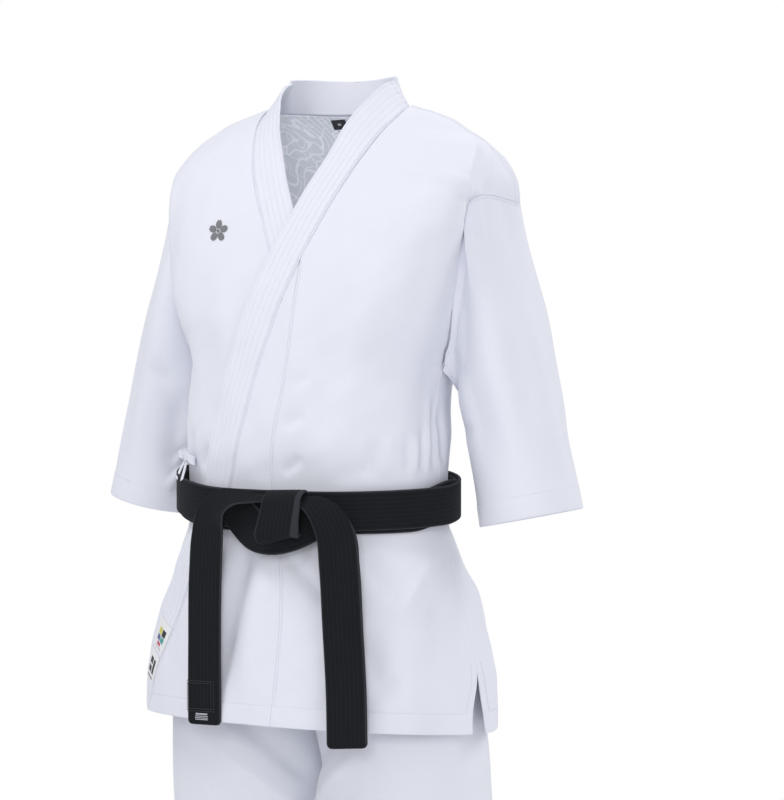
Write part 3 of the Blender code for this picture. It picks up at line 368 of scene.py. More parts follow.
def shared_normal(theta):
    """One wall direction along the armhole for body and sleeve, so that their edges lie face to face."""
    seam, w = armhole(theta)
    nb = body_normal(np.full_like(w, 0.985), w)
    e = 0.02
    p0, p1 = sleeve(theta, np.full_like(theta, 0.004)), sleeve(theta, np.full_like(theta, 0.034))
    t0 = sleeve(np.maximum(theta - e, 0), np.full_like(theta, 0.02))
    t1 = sleeve(np.minimum(theta + e, 2), np.full_like(theta, 0.02))
    ns = unit(np.cross(p1 - p0, t1 - t0))
    flip = np.sign(np.sum(ns * nb, -1, keepdims=True))
    return unit(nb + ns * np.where(flip == 0, 1, flip))


def body_wall(u, w):
    """Wall direction on the body: its normal, turned to the shared one close to the armhole."""
    n = body_normal(u, w)
    theta = np.clip((w - ARMPIT) / (RIDGE - ARMPIT), 0, 2)
    h = np.minimum(w, BODY_END - w)
    one = np.ones_like(h)
    seam_n = unit(body_normal(one, h) + body_normal(one, BODY_END - h))
    a = ease(np.minimum(theta, 2 - theta), 0.03, 0.14)[..., None]
    edge = unit(seam_n * (1 - a) + shared_normal(theta) * a)
    edge = edge * np.where(u < 0, -1, 1)[..., None] ** np.array([1, 0, 0])
    k = ease(np.abs(u), 0.86, 1.0)[..., None]
    return unit(n * (1 - k) + edge * k)


def seam_curve(table, over, at):
    return column(table, 1 if over else 2, at)


def fold_heights(points, normals, folds, place):
    """Height of the folds in a table at each point, in metres; place turns a fold's route into points."""
    flat_p, flat_n = points.reshape(-1, 3), normals.reshape(-1, 3)
    total = np.zeros(len(flat_p))
    for kind, tall, left, right, route in folds:
        knots = np.array(route, float)
        at = np.linspace(0, len(knots) - 1, 8 * (len(knots) - 1) + 1)
        ways = smooth_columns(np.arange(len(knots)), knots, at)
        line = place(ways[:, 0], ways[:, 1])
        reach = 2.4 * max(left, right) / 1000
        near = np.all((flat_p > line.min(0) - reach) & (flat_p < line.max(0) + reach), axis=1)
        p, n = flat_p[near], flat_n[near]
        best, side, along = np.full(len(p), 9.0), np.ones(len(p)), np.zeros(len(p))
        for i in range(len(line) - 1):
            step = line[i + 1] - line[i]
            t = np.clip((p - line[i]) @ step / max(step @ step, 1e-12), 0, 1)
            off = p - line[i] - step * t[:, None]
            far = np.linalg.norm(off, axis=1)
            closer = far < best
            best = np.where(closer, far, best)
            side = np.where(closer, np.sign(np.sum(np.cross(step, off) * n, 1)), side)
            along = np.where(closer, (i + t) / (len(line) - 1), along)
        spread = np.where(side > 0, right, left) / 1000
        bell = np.exp(-((best / spread) ** 2))
        fade = ease(along, -0.02, 0.30) * ease(1 - along, -0.02, 0.30)
        if kind == "crest":
            shape = np.exp(-(np.sqrt(best**2 + CREST_ROUND**2) - CREST_ROUND) / spread)
            shape = shape * (1 - ease(best / spread, 1.6, 2.4))
        else:
            shape = bell
        total[near] += shape * fade * tall / 1000
    return total.reshape(points.shape[:-1])


def swell(points, size, tall, seed):
    """Soft unevenness of hanging cloth: a few long waves in fixed random directions."""
    rng = np.random.default_rng(seed)
    total = np.zeros(points.shape[:-1])
    for k in range(7):
        way = unit(rng.normal(size=3) * np.array([1.0, 1.0, 0.55]))
        wave = size * rng.uniform(0.6, 1.7)
        total += np.sin(2 * math.pi * (points @ way) / wave + rng.uniform(0, 6.28))
    return total * tall / 3.2


def body_folds(u, w):
    """Height of the cloth's folds at a place on the jacket's body; flat under the belt and round the neck."""
    u, w = np.broadcast_arrays(np.asarray(u, float), np.asarray(w, float))
    p, n = body(u, w), body_normal(u, w)
    h = np.minimum(w, BODY_END - w)
    height = fold_heights(p, n, BODY_FOLDS, body)
    height = height + swell(p, 0.110, 0.0014, 3) + swell(p, 0.046, 0.0007, 4)
    belt = 1 - ease(np.abs(h - 0.265), 0.026, 0.052)
    neck = ease(0.30 - np.abs(u), 0.0, 0.10) * ease(h, 0.62, 0.72)
    return height * (1 - belt) * (1 - neck)


def lay(u, w, over, mirror=False):
    """Place u, w of a front on the folded body, over or under; a mirrored one counts u from the other side."""
    p, n = body(u, w), body_wall(u, w)
    lift = body_folds(-u if mirror else u, w)
    if over:
        lift = lift + over_lift(u, w)
    p = p + n * lift[..., None]
    if mirror:
        p, n = p * np.array([-1, 1, 1]), n * np.array([-1, 1, 1])
    return p, n


def inset(p, left=0.0, right=0.0, low=0.0, high=0.0):
    """Draw the edges of a grid in by a distance, for the seam gaps."""
    p = p.copy()
    if left:
        p[:, 0] += unit(p[:, 1] - p[:, 0]) * left
    if right:
        p[:, -1] += unit(p[:, -2] - p[:, -1]) * right
    if low:
        p[0] += unit(p[1] - p[0]) * low
    if high:
        p[-1] += unit(p[-2] - p[-1]) * high
    return p


def with_marks(start, stop, step, marks=(), reach=0.0022):
    """Even values from start to stop, closer together round each mark."""
    values = list(np.linspace(start, stop, max(3, int(round((stop - start) / step)) + 1)))
    for mark in marks:
        values = [x for x in values if abs(x - mark) > reach * 1.3]
        values += [mark + reach * k for k in (-1, -0.5, 0, 0.5, 1)]
    return np.array(sorted(x for x in values if start <= x <= stop))


def rounded_edges(p, n, low, high, closed, sides):
    """Add rows and columns close to the edges so that a piece of cloth ends in a soft, round edge."""
    shape = p.shape[:2]
    low = np.broadcast_to(np.asarray(low, float), shape).copy()
    high = np.broadcast_to(np.asarray(high, float), shape).copy()
    for side in sides:
        turn = side in ("left", "right")
        back_way = side in ("right", "high")
        if turn:
            p, n, low, high = p.swapaxes(0, 1), n.swapaxes(0, 1), low.T, high.T
        if back_way:
            p, n, low, high = p[::-1], n[::-1], low[::-1], high[::-1]
        radius = np.median(high[0] - low[0]) / 2
        way = unit(p[1] - p[0])
        mid, half = (low[0] + high[0]) / 2, (high[0] - low[0]) / 2
        extra = [(0.0, 0.38), (0.16, 0.62), (0.50, 0.88), (1.05, 1.0)]
        p = np.concatenate([[p[0] + way * radius * x for x, _ in extra], p[1:]])
        n = np.concatenate([[n[0]] * len(extra), n[1:]])
        low = np.concatenate([[mid - half * f for _, f in extra], low[1:]])
        high = np.concatenate([[mid + half * f for _, f in extra], high[1:]])
        if back_way:
            p, n, low, high = p[::-1], n[::-1], low[::-1], high[::-1]
        if turn:
            p, n, low, high = p.swapaxes(0, 1), n.swapaxes(0, 1), low.T, high.T
    return p, n, low, high


def cloth_uv(p, closed):
    """Lengths along the cloth in metres, so that weave and stitches keep their real size."""
    ring = np.concatenate([p, p[:, :1]], 1) if closed else p
    across = np.linalg.norm(np.diff(ring, axis=1), axis=2)
    up = np.linalg.norm(np.diff(ring, axis=0), axis=2)
    x = np.concatenate([np.zeros((len(ring), 1)), np.cumsum(across, 1)], 1)
    y = np.concatenate([np.zeros((1, ring.shape[1])), np.cumsum(up, 0)], 0)
    return np.stack([x, y], -1)


def cloth_mesh(name, sheets, material):
    """One piece made of closed shells; each sheet is a grid of points, wall directions and two offsets."""
    verts, faces, uvs, count = [], [], [], 0
    for p, n, low, high, closed, sides in sheets:
        p, n, low, high = rounded_edges(p, n, low, high, closed, sides)
        m, k = p.shape[:2]
        uv = cloth_uv(p, closed)
        verts += [(p + n * low[..., None]).reshape(-1, 3), (p + n * high[..., None]).reshape(-1, 3)]
        wrap = k if closed else k - 1
        i, j = np.meshgrid(np.arange(m - 1), np.arange(wrap), indexing="ij")
        i, j = i.ravel(), j.ravel()
        j2 = (j + 1) % k
        a, b, c, d = i * k + j, i * k + j2, (i + 1) * k + j2, (i + 1) * k + j
        top = m * k
        ua, ub, uc, ud = uv[i, j], uv[i, j + 1], uv[i + 1, j + 1], uv[i + 1, j]
        quads = [np.stack([a, d, c, b], 1), np.stack([a, b, c, d], 1) + top]
        quad_uv = [np.stack([ua, ud, uc, ub], 1), np.stack([ua, ub, uc, ud], 1)]
        j = np.arange(wrap)
        j2 = (j + 1) % k
        for row, order in ((0, 1), (m - 1, -1)):
            a, b = row * k + j, row * k + j2
            q = np.stack([a, b, top + b, top + a], 1)
            w = np.stack([uv[row, j], uv[row, j + 1], uv[row, j + 1], uv[row, j]], 1)
            quads.append(q if order > 0 else q[:, ::-1])
            quad_uv.append(w if order > 0 else w[:, ::-1])
        if not closed:
            i = np.arange(m - 1)
            for col, order in ((0, 1), (k - 1, -1)):
                a, d = i * k + col, (i + 1) * k + col
                q = np.stack([a, top + a, top + d, d], 1)
                w = np.stack([uv[i, col], uv[i, col], uv[i + 1, col], uv[i + 1, col]], 1)
                quads.append(q if order > 0 else q[:, ::-1])
                quad_uv.append(w if order > 0 else w[:, ::-1])
        quads, quad_uv = np.concatenate(quads), np.concatenate(quad_uv)
        face_way = np.sum(grid_normal(p, closed) * n, -1)
        if np.median(face_way) < 0:
            quads, quad_uv = quads[:, ::-1], quad_uv[:, ::-1]
        faces.append(quads + count)
        uvs.append(quad_uv)
        count += 2 * top
    mesh = bpy.data.meshes.new(name)
    mesh.from_pydata(np.concatenate(verts).tolist(), [], np.concatenate(faces).tolist())
    layer = mesh.uv_layers.new(name="cloth")
    layer.data.foreach_set("uv", np.concatenate(uvs).reshape(-1).astype(np.float32))
    mesh.shade_smooth()
    mesh.set_sharp_from_angle(angle=math.radians(60))
    mesh.materials.append(material)
    obj = bpy.data.objects.new(name, mesh)
    bpy.context.scene.collection.objects.link(obj)
    return obj


ALL_SIDES = ("left", "right", "low", "high")


def dress(obj, nodes):
    """Let a finished piece ride on the body and stand for its solids."""
    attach(obj, "root")
    if nodes:
        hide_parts(*nodes)
    return obj


def edge_lengths(p):
    """Distance of each grid point from the low row, high row, left column and right column."""
    up = np.linalg.norm(np.diff(p, axis=0), axis=2)
    across = np.linalg.norm(np.diff(p, axis=1), axis=2)
    low = np.concatenate([np.zeros((1, p.shape[1])), np.cumsum(up, 0)], 0)
    left = np.concatenate([np.zeros((p.shape[0], 1)), np.cumsum(across, 1)], 1)
    return low, low[-1:] - low, left, left[:, -1:] - left


def hem_relief(distance, width, extra=0.0006, groove=0.0005):
    """Doubled cloth of a turned hem: a little thicker up to its stitch line, drawn in at the stitches."""
    thick = extra * (1 - ease(distance, width + 0.0004, width + 0.0020))
    return thick - groove * np.exp(-(((distance - width) / 0.0011) ** 2))


# Materials

def add(tree, kind, place=(0, 0), **settings):
    node = tree.nodes.new(kind)
    node.location = place
    for key, value in settings.items():
        setattr(node, key, value)
    return node


def calc(tree, what, a, b=None, c=None):
    """A Math node; each of a, b, c is a number or another node's output."""
    node = add(tree, "ShaderNodeMath", operation=what)
    for socket, value in zip(node.inputs, (a, b, c)):
        if value is None:
            continue
        if isinstance(value, (int, float)):
            socket.default_value = value
        else:
            tree.links.new(value, socket)
    return node.outputs[0]


def shader_group(name, inputs, outputs):
    tree = bpy.data.node_groups.new(name, "ShaderNodeTree")
    for label, kind, default in inputs:
        socket = tree.interface.new_socket(label, in_out="INPUT", socket_type=kind)
        if default is not None:
            socket.default_value = default
    for label, kind in outputs:
        tree.interface.new_socket(label, in_out="OUTPUT", socket_type=kind)
    return tree, add(tree, "NodeGroupInput").outputs, add(tree, "NodeGroupOutput").inputs


FLOAT, VECTOR, COLOUR = "NodeSocketFloat", "NodeSocketVector", "NodeSocketColor"


def weave_group():
    """Diagonal cotton weave read from the cloth's own lengths: a height, and a shade that is painted shade, darker in
    the weave's hollows, with uneven slub tone along the yarns.
    """
    tree, given, out = shader_group("cotton_weave", [
        ("Cloth", VECTOR, None), ("Threads per metre", FLOAT, 900.0), ("Diagonal", FLOAT, 0.6), ("Slub", FLOAT, 0.5),
    ], [("Height", FLOAT), ("Shade", FLOAT)])
    link = tree.links.new
    split = add(tree, "ShaderNodeSeparateXYZ")
    link(given["Cloth"], split.inputs[0])
    x = calc(tree, "MULTIPLY", split.outputs[0], given["Threads per metre"])
    y = calc(tree, "MULTIPLY", split.outputs[1], given["Threads per metre"])
    warp = calc(tree, "SINE", calc(tree, "MULTIPLY", x, 6.2832))
    weft = calc(tree, "SINE", calc(tree, "MULTIPLY", y, 6.2832))
    twill = calc(tree, "SINE", calc(tree, "MULTIPLY", calc(tree, "ADD", x, y), 3.1416))
    plain = calc(tree, "MULTIPLY", warp, weft)
    both = calc(tree, "ADD", calc(tree, "MULTIPLY", twill, given["Diagonal"]),
                calc(tree, "MULTIPLY", plain, calc(tree, "SUBTRACT", 1.0, given["Diagonal"])))
    streaks = []
    for stretch in ((40.0, 900.0, 1.0), (900.0, 40.0, 1.0)):
        scale = add(tree, "ShaderNodeVectorMath", operation="MULTIPLY")
        link(given["Cloth"], scale.inputs[0])
        scale.inputs[1].default_value = stretch
        noise = add(tree, "ShaderNodeTexNoise")
        noise.inputs["Scale"].default_value = 1.0
        noise.inputs["Detail"].default_value = 1.0
        link(scale.outputs[0], noise.inputs["Vector"])
        streaks.append(noise.outputs["Fac"])
    slub = calc(tree, "MULTIPLY", calc(tree, "SUBTRACT", calc(tree, "ADD", *streaks), 1.0), given["Slub"])
    link(calc(tree, "ADD", calc(tree, "MULTIPLY", both, 0.5), slub), out["Height"])
    # Shade: painted shade in the weave's hollows, with slub tone.
    link(calc(tree, "ADD", calc(tree, "MULTIPLY", both, 0.25), slub), out["Shade"])
    return tree


def mottle_group():
    """Soft cloudy variation over a whole garment, as washed and pressed cotton has."""
    tree, given, out = shader_group("soft_mottle", [
        ("Place", VECTOR, None), ("Size", FLOAT, 9.0), ("Fine size", FLOAT, 60.0)], [("Cloud", FLOAT)])
    values = []
    for size, weight in (("Size", 0.7), ("Fine size", 0.3)):
        noise = add(tree, "ShaderNodeTexNoise")
        noise.inputs["Detail"].default_value = 2.0
        tree.links.new(given["Place"], noise.inputs["Vector"])
        tree.links.new(given[size], noise.inputs["Scale"])
        values.append(calc(tree, "MULTIPLY", noise.outputs["Fac"], weight))
    tree.links.new(calc(tree, "ADD", *values), out["Cloud"])
    return tree


def block_group():
    """Mask of one rectangle on a label, its sides given in metres along the cloth."""
    tree, given, out = shader_group("woven_block", [
        ("Cloth", VECTOR, None), ("Left", FLOAT, 0.0), ("Right", FLOAT, 0.01), ("Low", FLOAT, 0.0), ("High", FLOAT, 0.01),
    ], [("Mask", FLOAT)])
    split = add(tree, "ShaderNodeSeparateXYZ")
    tree.links.new(given["Cloth"], split.inputs[0])
    x, y = split.outputs[0], split.outputs[1]
    mask = calc(tree, "MULTIPLY", calc(tree, "GREATER_THAN", x, given["Left"]), calc(tree, "LESS_THAN", x, given["Right"]))
    mask = calc(tree, "MULTIPLY", mask, calc(tree, "GREATER_THAN", y, given["Low"]))
    mask = calc(tree, "MULTIPLY", mask, calc(tree, "LESS_THAN", y, given["High"]))
    tree.links.new(mask, out["Mask"])
    return tree


WEAVE, MOTTLE, BLOCK = weave_group(), mottle_group(), block_group()


def mixed(tree, mask, first, second):
    """Colour first where the mask is 0, second where it is 1; each is a colour or an output."""
    node = add(tree, "ShaderNodeMix", data_type="RGBA")
    tree.links.new(mask, node.inputs["Factor"])
    for socket, value in ((node.inputs["A"], first), (node.inputs["B"], second)):
        if isinstance(value, tuple):
            socket.default_value = (*value, 1.0)
        else:
            tree.links.new(value, socket)
    return node.outputs["Result"]


def placed_group(tree, group, source, **values):
    node = add(tree, "ShaderNodeGroup", node_tree=group)
    tree.links.new(source, node.inputs[0])
    for key, value in values.items():
        node.inputs[key.replace("_", " ")].default_value = value
    return node


def fabric(name, light, dark, threads=900.0, diagonal=0.6, slub=0.5, rough=0.85, sheen=0.2, bump=0.00012,
           cloud=0.5, pattern=None, sheen_tint=(1.0, 1.0, 1.0), ior=1.42, painted_glow=0.0):
    """Woven cloth, its colour between dark and light. The glow is painted light: the cloth's colour given off as
    emission, which brightens cloth that lies in shade.
    """
    material = bpy.data.materials.new(name)
    material.use_nodes = True
    tree = material.node_tree
    shader = tree.nodes["Principled BSDF"]
    shader.inputs["Roughness"].default_value = rough
    shader.inputs["Sheen Weight"].default_value = sheen
    shader.inputs["Sheen Tint"].default_value = (*sheen_tint, 1.0)
    shader.inputs["IOR"].default_value = ior
    uv = add(tree, "ShaderNodeUVMap", uv_map="cloth").outputs[0]
    where = add(tree, "ShaderNodeTexCoord").outputs["Object"]
    weave = placed_group(tree, WEAVE, uv, Threads_per_metre=threads, Diagonal=diagonal, Slub=slub)
    mottle = placed_group(tree, MOTTLE, where)
    # Colour level from the painted weave shade and slub tone, with the garment's random mottle.
    shade = calc(tree, "ADD", calc(tree, "MULTIPLY", weave.outputs["Shade"], 0.5),
                 calc(tree, "MULTIPLY", calc(tree, "SUBTRACT", mottle.outputs["Cloud"], 0.5), cloud * 2))
    level = add(tree, "ShaderNodeClamp")
    tree.links.new(calc(tree, "ADD", shade, 0.5), level.inputs[0])
    colour = mixed(tree, level.outputs[0], dark, light)
    if pattern:
        colour = pattern(tree, uv, colour)
    tree.links.new(colour, shader.inputs["Base Color"])
    # Painted light: the colour glows to brighten cloth that lies in shade.
    if painted_glow:
        tree.links.new(colour, shader.inputs["Emission Color"])
        shader.inputs["Emission Strength"].default_value = painted_glow
    lift = add(tree, "ShaderNodeBump")
    lift.inputs["Distance"].default_value = bump
    lift.inputs["Strength"].default_value = 0.6
    tree.links.new(weave.outputs["Height"], lift.inputs["Height"])
    tree.links.new(lift.outputs[0], shader.inputs["Normal"])
    return material


def contour_lines(tree, uv, colour):
    """Pale flowing lines printed on the lining, like contours on a chart."""
    for scale, rings, thin in ((6.0, 34.0, 0.085), (15.0, 11.0, 0.045)):
        noise = add(tree, "ShaderNodeTexNoise")
        noise.inputs["Scale"].default_value = scale
        noise.inputs["Detail"].default_value = 2.0
        noise.inputs["Roughness"].default_value = 0.55
        tree.links.new(uv, noise.inputs["Vector"])
        wave = calc(tree, "FRACT", calc(tree, "MULTIPLY", noise.outputs["Fac"], rings))
        line = calc(tree, "LESS_THAN", calc(tree, "ABSOLUTE", calc(tree, "SUBTRACT", wave, 0.5)), thin)
        colour = mixed(tree, calc(tree, "MULTIPLY", line, 0.75), colour, (0.80, 0.82, 0.87))
    return colour


def blocks(rows):
    """Pattern of plain coloured blocks: left, right, low, high in metres, then the colour."""
    def pattern(tree, uv, colour):
        for left, right, low, high, tone in rows:
            node = placed_group(tree, BLOCK, uv, Left=left, Right=right, Low=low, High=high)
            colour = mixed(tree, node.outputs[0], colour, tone)
        return colour
    return pattern


def belt_lines(tree, uv, colour):
    """Rows of thread along the belt, a little paler than its cloth, and its paler edges: rubbed wear together with a
    painted highlight along the rounded edges.
    """
    split = add(tree, "ShaderNodeSeparateXYZ")
    tree.links.new(uv, split.inputs[0])
    across = calc(tree, "MULTIPLY", split.outputs[0], BELT_ROWS / BELT_WIDTH)
    near = calc(tree, "ABSOLUTE", calc(tree, "SUBTRACT", calc(tree, "FRACT", across), 0.5))
    row = calc(tree, "LESS_THAN", near, 0.075)
    dash = calc(tree, "GREATER_THAN", calc(tree, "SINE", calc(tree, "MULTIPLY", split.outputs[1], 6.2832 / 0.0032)), -0.5)
    colour = mixed(tree, calc(tree, "MULTIPLY", calc(tree, "MULTIPLY", row, dash), 0.5), colour, (0.026, 0.029, 0.033))
    # Paler edges: painted highlight along the rounded edges, together with rubbed wear.
    edge = calc(tree, "ABSOLUTE", calc(tree, "SUBTRACT", split.outputs[0], BELT_WIDTH / 2))
    edge_highlight_and_wear = calc(tree, "GREATER_THAN", edge, BELT_WIDTH / 2 - 0.0013)
    return mixed(tree, calc(tree, "MULTIPLY", edge_highlight_and_wear, 0.55), colour, (0.055, 0.060, 0.068))


COTTON = fabric("jacket_cotton_cloth", (0.795, 0.810, 0.880), (0.765, 0.780, 0.855))
TROUSER = fabric("trouser_cotton_cloth", (0.790, 0.805, 0.865), (0.760, 0.775, 0.840))
BAND = fabric("band_cotton_cloth", (0.800, 0.815, 0.885), (0.775, 0.790, 0.865), threads=700.0, diagonal=0.2, slub=0.35)
# The lining glows with painted light, which lifts it out of the shade inside the back.
LINING = fabric("lining_cloth", (0.600, 0.625, 0.680), (0.565, 0.590, 0.645), threads=1400.0, diagonal=0.0, slub=0.25,
                rough=0.6, pattern=contour_lines, painted_glow=0.42)
BELT = fabric("belt_cloth", (0.0130, 0.0140, 0.0165), (0.0085, 0.0095, 0.0115), threads=620.0, diagonal=0.0, slub=0.9,
              rough=0.70, sheen=0.03, ior=1.16, bump=0.00025, cloud=0.35, pattern=belt_lines, sheen_tint=(0.8, 0.9, 1.0))
THREAD = fabric("white_thread", (0.785, 0.800, 0.870), (0.735, 0.750, 0.830), threads=2500.0, slub=0.1, rough=0.6)
DARK_THREAD = fabric("grey_thread", (0.215, 0.220, 0.235), (0.150, 0.155, 0.170), threads=1600.0, diagonal=1.0,
                     slub=0.4, rough=0.5, sheen=0.1)
NECK_LABEL = fabric("neck_label_cloth", (0.050, 0.054, 0.064), (0.038, 0.042, 0.050), threads=1800.0, rough=0.5,
                    pattern=blocks([(0.0075, 0.0120, 0.0060, 0.0095, (0.62, 0.63, 0.66))]))
SIZE_TAG = fabric("size_tag_cloth", (0.83, 0.84, 0.86), (0.79, 0.80, 0.82), threads=1800.0,
                  pattern=blocks([(0.003, 0.008, 0.004, 0.0055, (0.25, 0.25, 0.28)),
                                  (0.003, 0.007, 0.0075, 0.009, (0.25, 0.25, 0.28))]))
UPPER_LABEL = fabric("upper_hem_label_cloth", (0.84, 0.845, 0.86), (0.80, 0.805, 0.82), threads=1800.0, pattern=blocks([
    (0.0055, 0.0135, 0.020, 0.029, (0.012, 0.012, 0.016)), (0.0145, 0.0225, 0.020, 0.029, (0.62, 0.56, 0.08)),
    (0.0055, 0.0135, 0.0115, 0.019, (0.06, 0.34, 0.33)), (0.0145, 0.0225, 0.0115, 0.019, (0.07, 0.10, 0.28)),
    (0.0095, 0.0190, 0.0060, 0.0105, (0.55, 0.05, 0.12)), (0.0055, 0.0225, 0.0030, 0.0042, (0.35, 0.36, 0.38))]))
LOWER_LABEL = fabric("lower_hem_label_cloth", (0.84, 0.845, 0.86), (0.80, 0.805, 0.82), threads=1800.0, pattern=blocks([
    (0.0055, 0.0120, 0.011, 0.030, (0.012, 0.012, 0.016)), (0.0140, 0.0225, 0.0215, 0.030, (0.012, 0.012, 0.016)),
    (0.0140, 0.0225, 0.011, 0.0190, (0.012, 0.012, 0.016)), (0.0055, 0.0225, 0.0045, 0.0070, (0.10, 0.10, 0.12))]))
BELT_THREAD = fabric("belt_thread", (0.036, 0.040, 0.045), (0.026, 0.029, 0.033), threads=2500.0, rough=0.6, ior=1.2)


# Stitches

def stitch_tree():
    """Node tree that lays one short thread after another along the edges of a mesh."""
    tree = bpy.data.node_groups.new("thread_stitches", "GeometryNodeTree")
    tree.interface.new_socket("Geometry", in_out="INPUT", socket_type="NodeSocketGeometry")
    for label, default in (("Pitch", STITCH_PITCH), ("Stitch length", 0.0025), ("Thread radius", 0.00028)):
        tree.interface.new_socket(label, in_out="INPUT", socket_type="NodeSocketFloat").default_value = default
    tree.interface.new_socket("Thread material", in_out="INPUT", socket_type="NodeSocketMaterial")
    tree.interface.new_socket("Geometry", in_out="OUTPUT", socket_type="NodeSocketGeometry")
    given, out = add(tree, "NodeGroupInput").outputs, add(tree, "NodeGroupOutput").inputs
    link = tree.links.new
    curve = add(tree, "GeometryNodeMeshToCurve")
    spaced = add(tree, "GeometryNodeResampleCurve", mode="LENGTH")
    thread = add(tree, "GeometryNodeMeshCylinder", fill_type="NGON")
    thread.inputs["Vertices"].default_value = 5
    thread.inputs["Radius"].default_value = 1.0
    thread.inputs["Depth"].default_value = 1.0
    aim = add(tree, "FunctionNodeAlignRotationToVector", axis="Z")
    size = add(tree, "ShaderNodeCombineXYZ")
    copies = add(tree, "GeometryNodeInstanceOnPoints")
    real = add(tree, "GeometryNodeRealizeInstances")
    finish = add(tree, "GeometryNodeSetMaterial")
    link(given["Geometry"], curve.inputs["Mesh"])
    link(curve.outputs[0], spaced.inputs["Curve"])
    link(given["Pitch"], spaced.inputs["Length"])
    link(add(tree, "GeometryNodeInputTangent").outputs[0], aim.inputs["Vector"])
    link(given["Thread radius"], size.inputs[0])
    link(given["Thread radius"], size.inputs[1])
    link(given["Stitch length"], size.inputs[2])
    link(spaced.outputs[0], copies.inputs["Points"])
    link(thread.outputs["Mesh"], copies.inputs["Instance"])
    link(aim.outputs[0], copies.inputs["Rotation"])
    link(size.outputs[0], copies.inputs["Scale"])
    link(copies.outputs[0], real.inputs[0])
    link(real.outputs[0], finish.inputs["Geometry"])
    link(given["Thread material"], finish.inputs["Material"])
    link(finish.outputs[0], out["Geometry"])
    return tree


STITCHES = stitch_tree()


def stitches(name, paths, material, pitch=STITCH_PITCH, length=0.0025, radius=0.00028):
    """Thread along some paths of points, as one plain mesh."""
    verts, edges = [], []
    for path in paths:
        first = len(verts)
        verts += np.asarray(path).tolist()
        edges += [(first + i, first + i + 1) for i in range(len(path) - 1)]
    mesh = bpy.data.meshes.new(name + "_path")
    mesh.from_pydata(verts, edges, [])
    obj = bpy.data.objects.new(name, mesh)
    bpy.context.scene.collection.objects.link(obj)
    sewn = obj.modifiers.new("sewn", "NODES")
    sewn.node_group = STITCHES
    given = {"Pitch": pitch, "Stitch length": length, "Thread radius": radius, "Thread material": material}
    for item in STITCHES.interface.items_tree:
        if item.item_type == "SOCKET" and item.in_out == "INPUT" and item.name in given:
            sewn[item.identifier] = given[item.name]
    graph = bpy.context.evaluated_depsgraph_get()
    made = bpy.data.meshes.new_from_object(obj.evaluated_get(graph))
    obj.modifiers.clear()
    obj.data = made
    if "cloth" not in made.uv_layers:
        made.uv_layers.new(name="cloth")
    made.shade_smooth()
    return dress(obj, [])


# Jacket


def offset_path(p, n, rise):
    return p + n * rise


def sample_row(p, n, rows, cols, rise):
    """Points of a grid at fractional rows or columns, raised off it; for a stitch line laid on the grid."""
    rows, cols = np.broadcast_arrays(np.asarray(rows, float), np.asarray(cols, float))
    i = np.clip(rows.astype(int), 0, p.shape[0] - 2)
    j = np.clip(cols.astype(int), 0, p.shape[1] - 2)
    fr, fc = (rows - i)[:, None], (cols - j)[:, None]

    def take(g):
        return (g[i, j] * (1 - fc) + g[i, j + 1] * fc) * (1 - fr) + (g[i + 1, j] * (1 - fc) + g[i + 1, j + 1] * fc) * fr
    return take(p) + unit(take(n)) * rise


def line_at(p, n, distance, side, rise):
    """Stitch line at a distance in from one side of a grid: low, high, left or right."""
    low, high, left, right = edge_lengths(p)
    far = {"low": low, "high": high, "left": left, "right": right}[side]
    points = []
    if side in ("low", "high"):
        for j in range(p.shape[1]):
            order = slice(None) if side == "low" else slice(None, None, -1)
            at = np.interp(distance, far[order, j], np.arange(p.shape[0])[order])
            points.append((at, j))
    else:
        for i in range(p.shape[0]):
            order = slice(None) if side == "left" else slice(None, None, -1)
            at = np.interp(distance, far[i, order], np.arange(p.shape[1])[order])
            points.append((i, at))
    rows, cols = np.array(points).T
    return sample_row(p, n, rows, cols, rise)


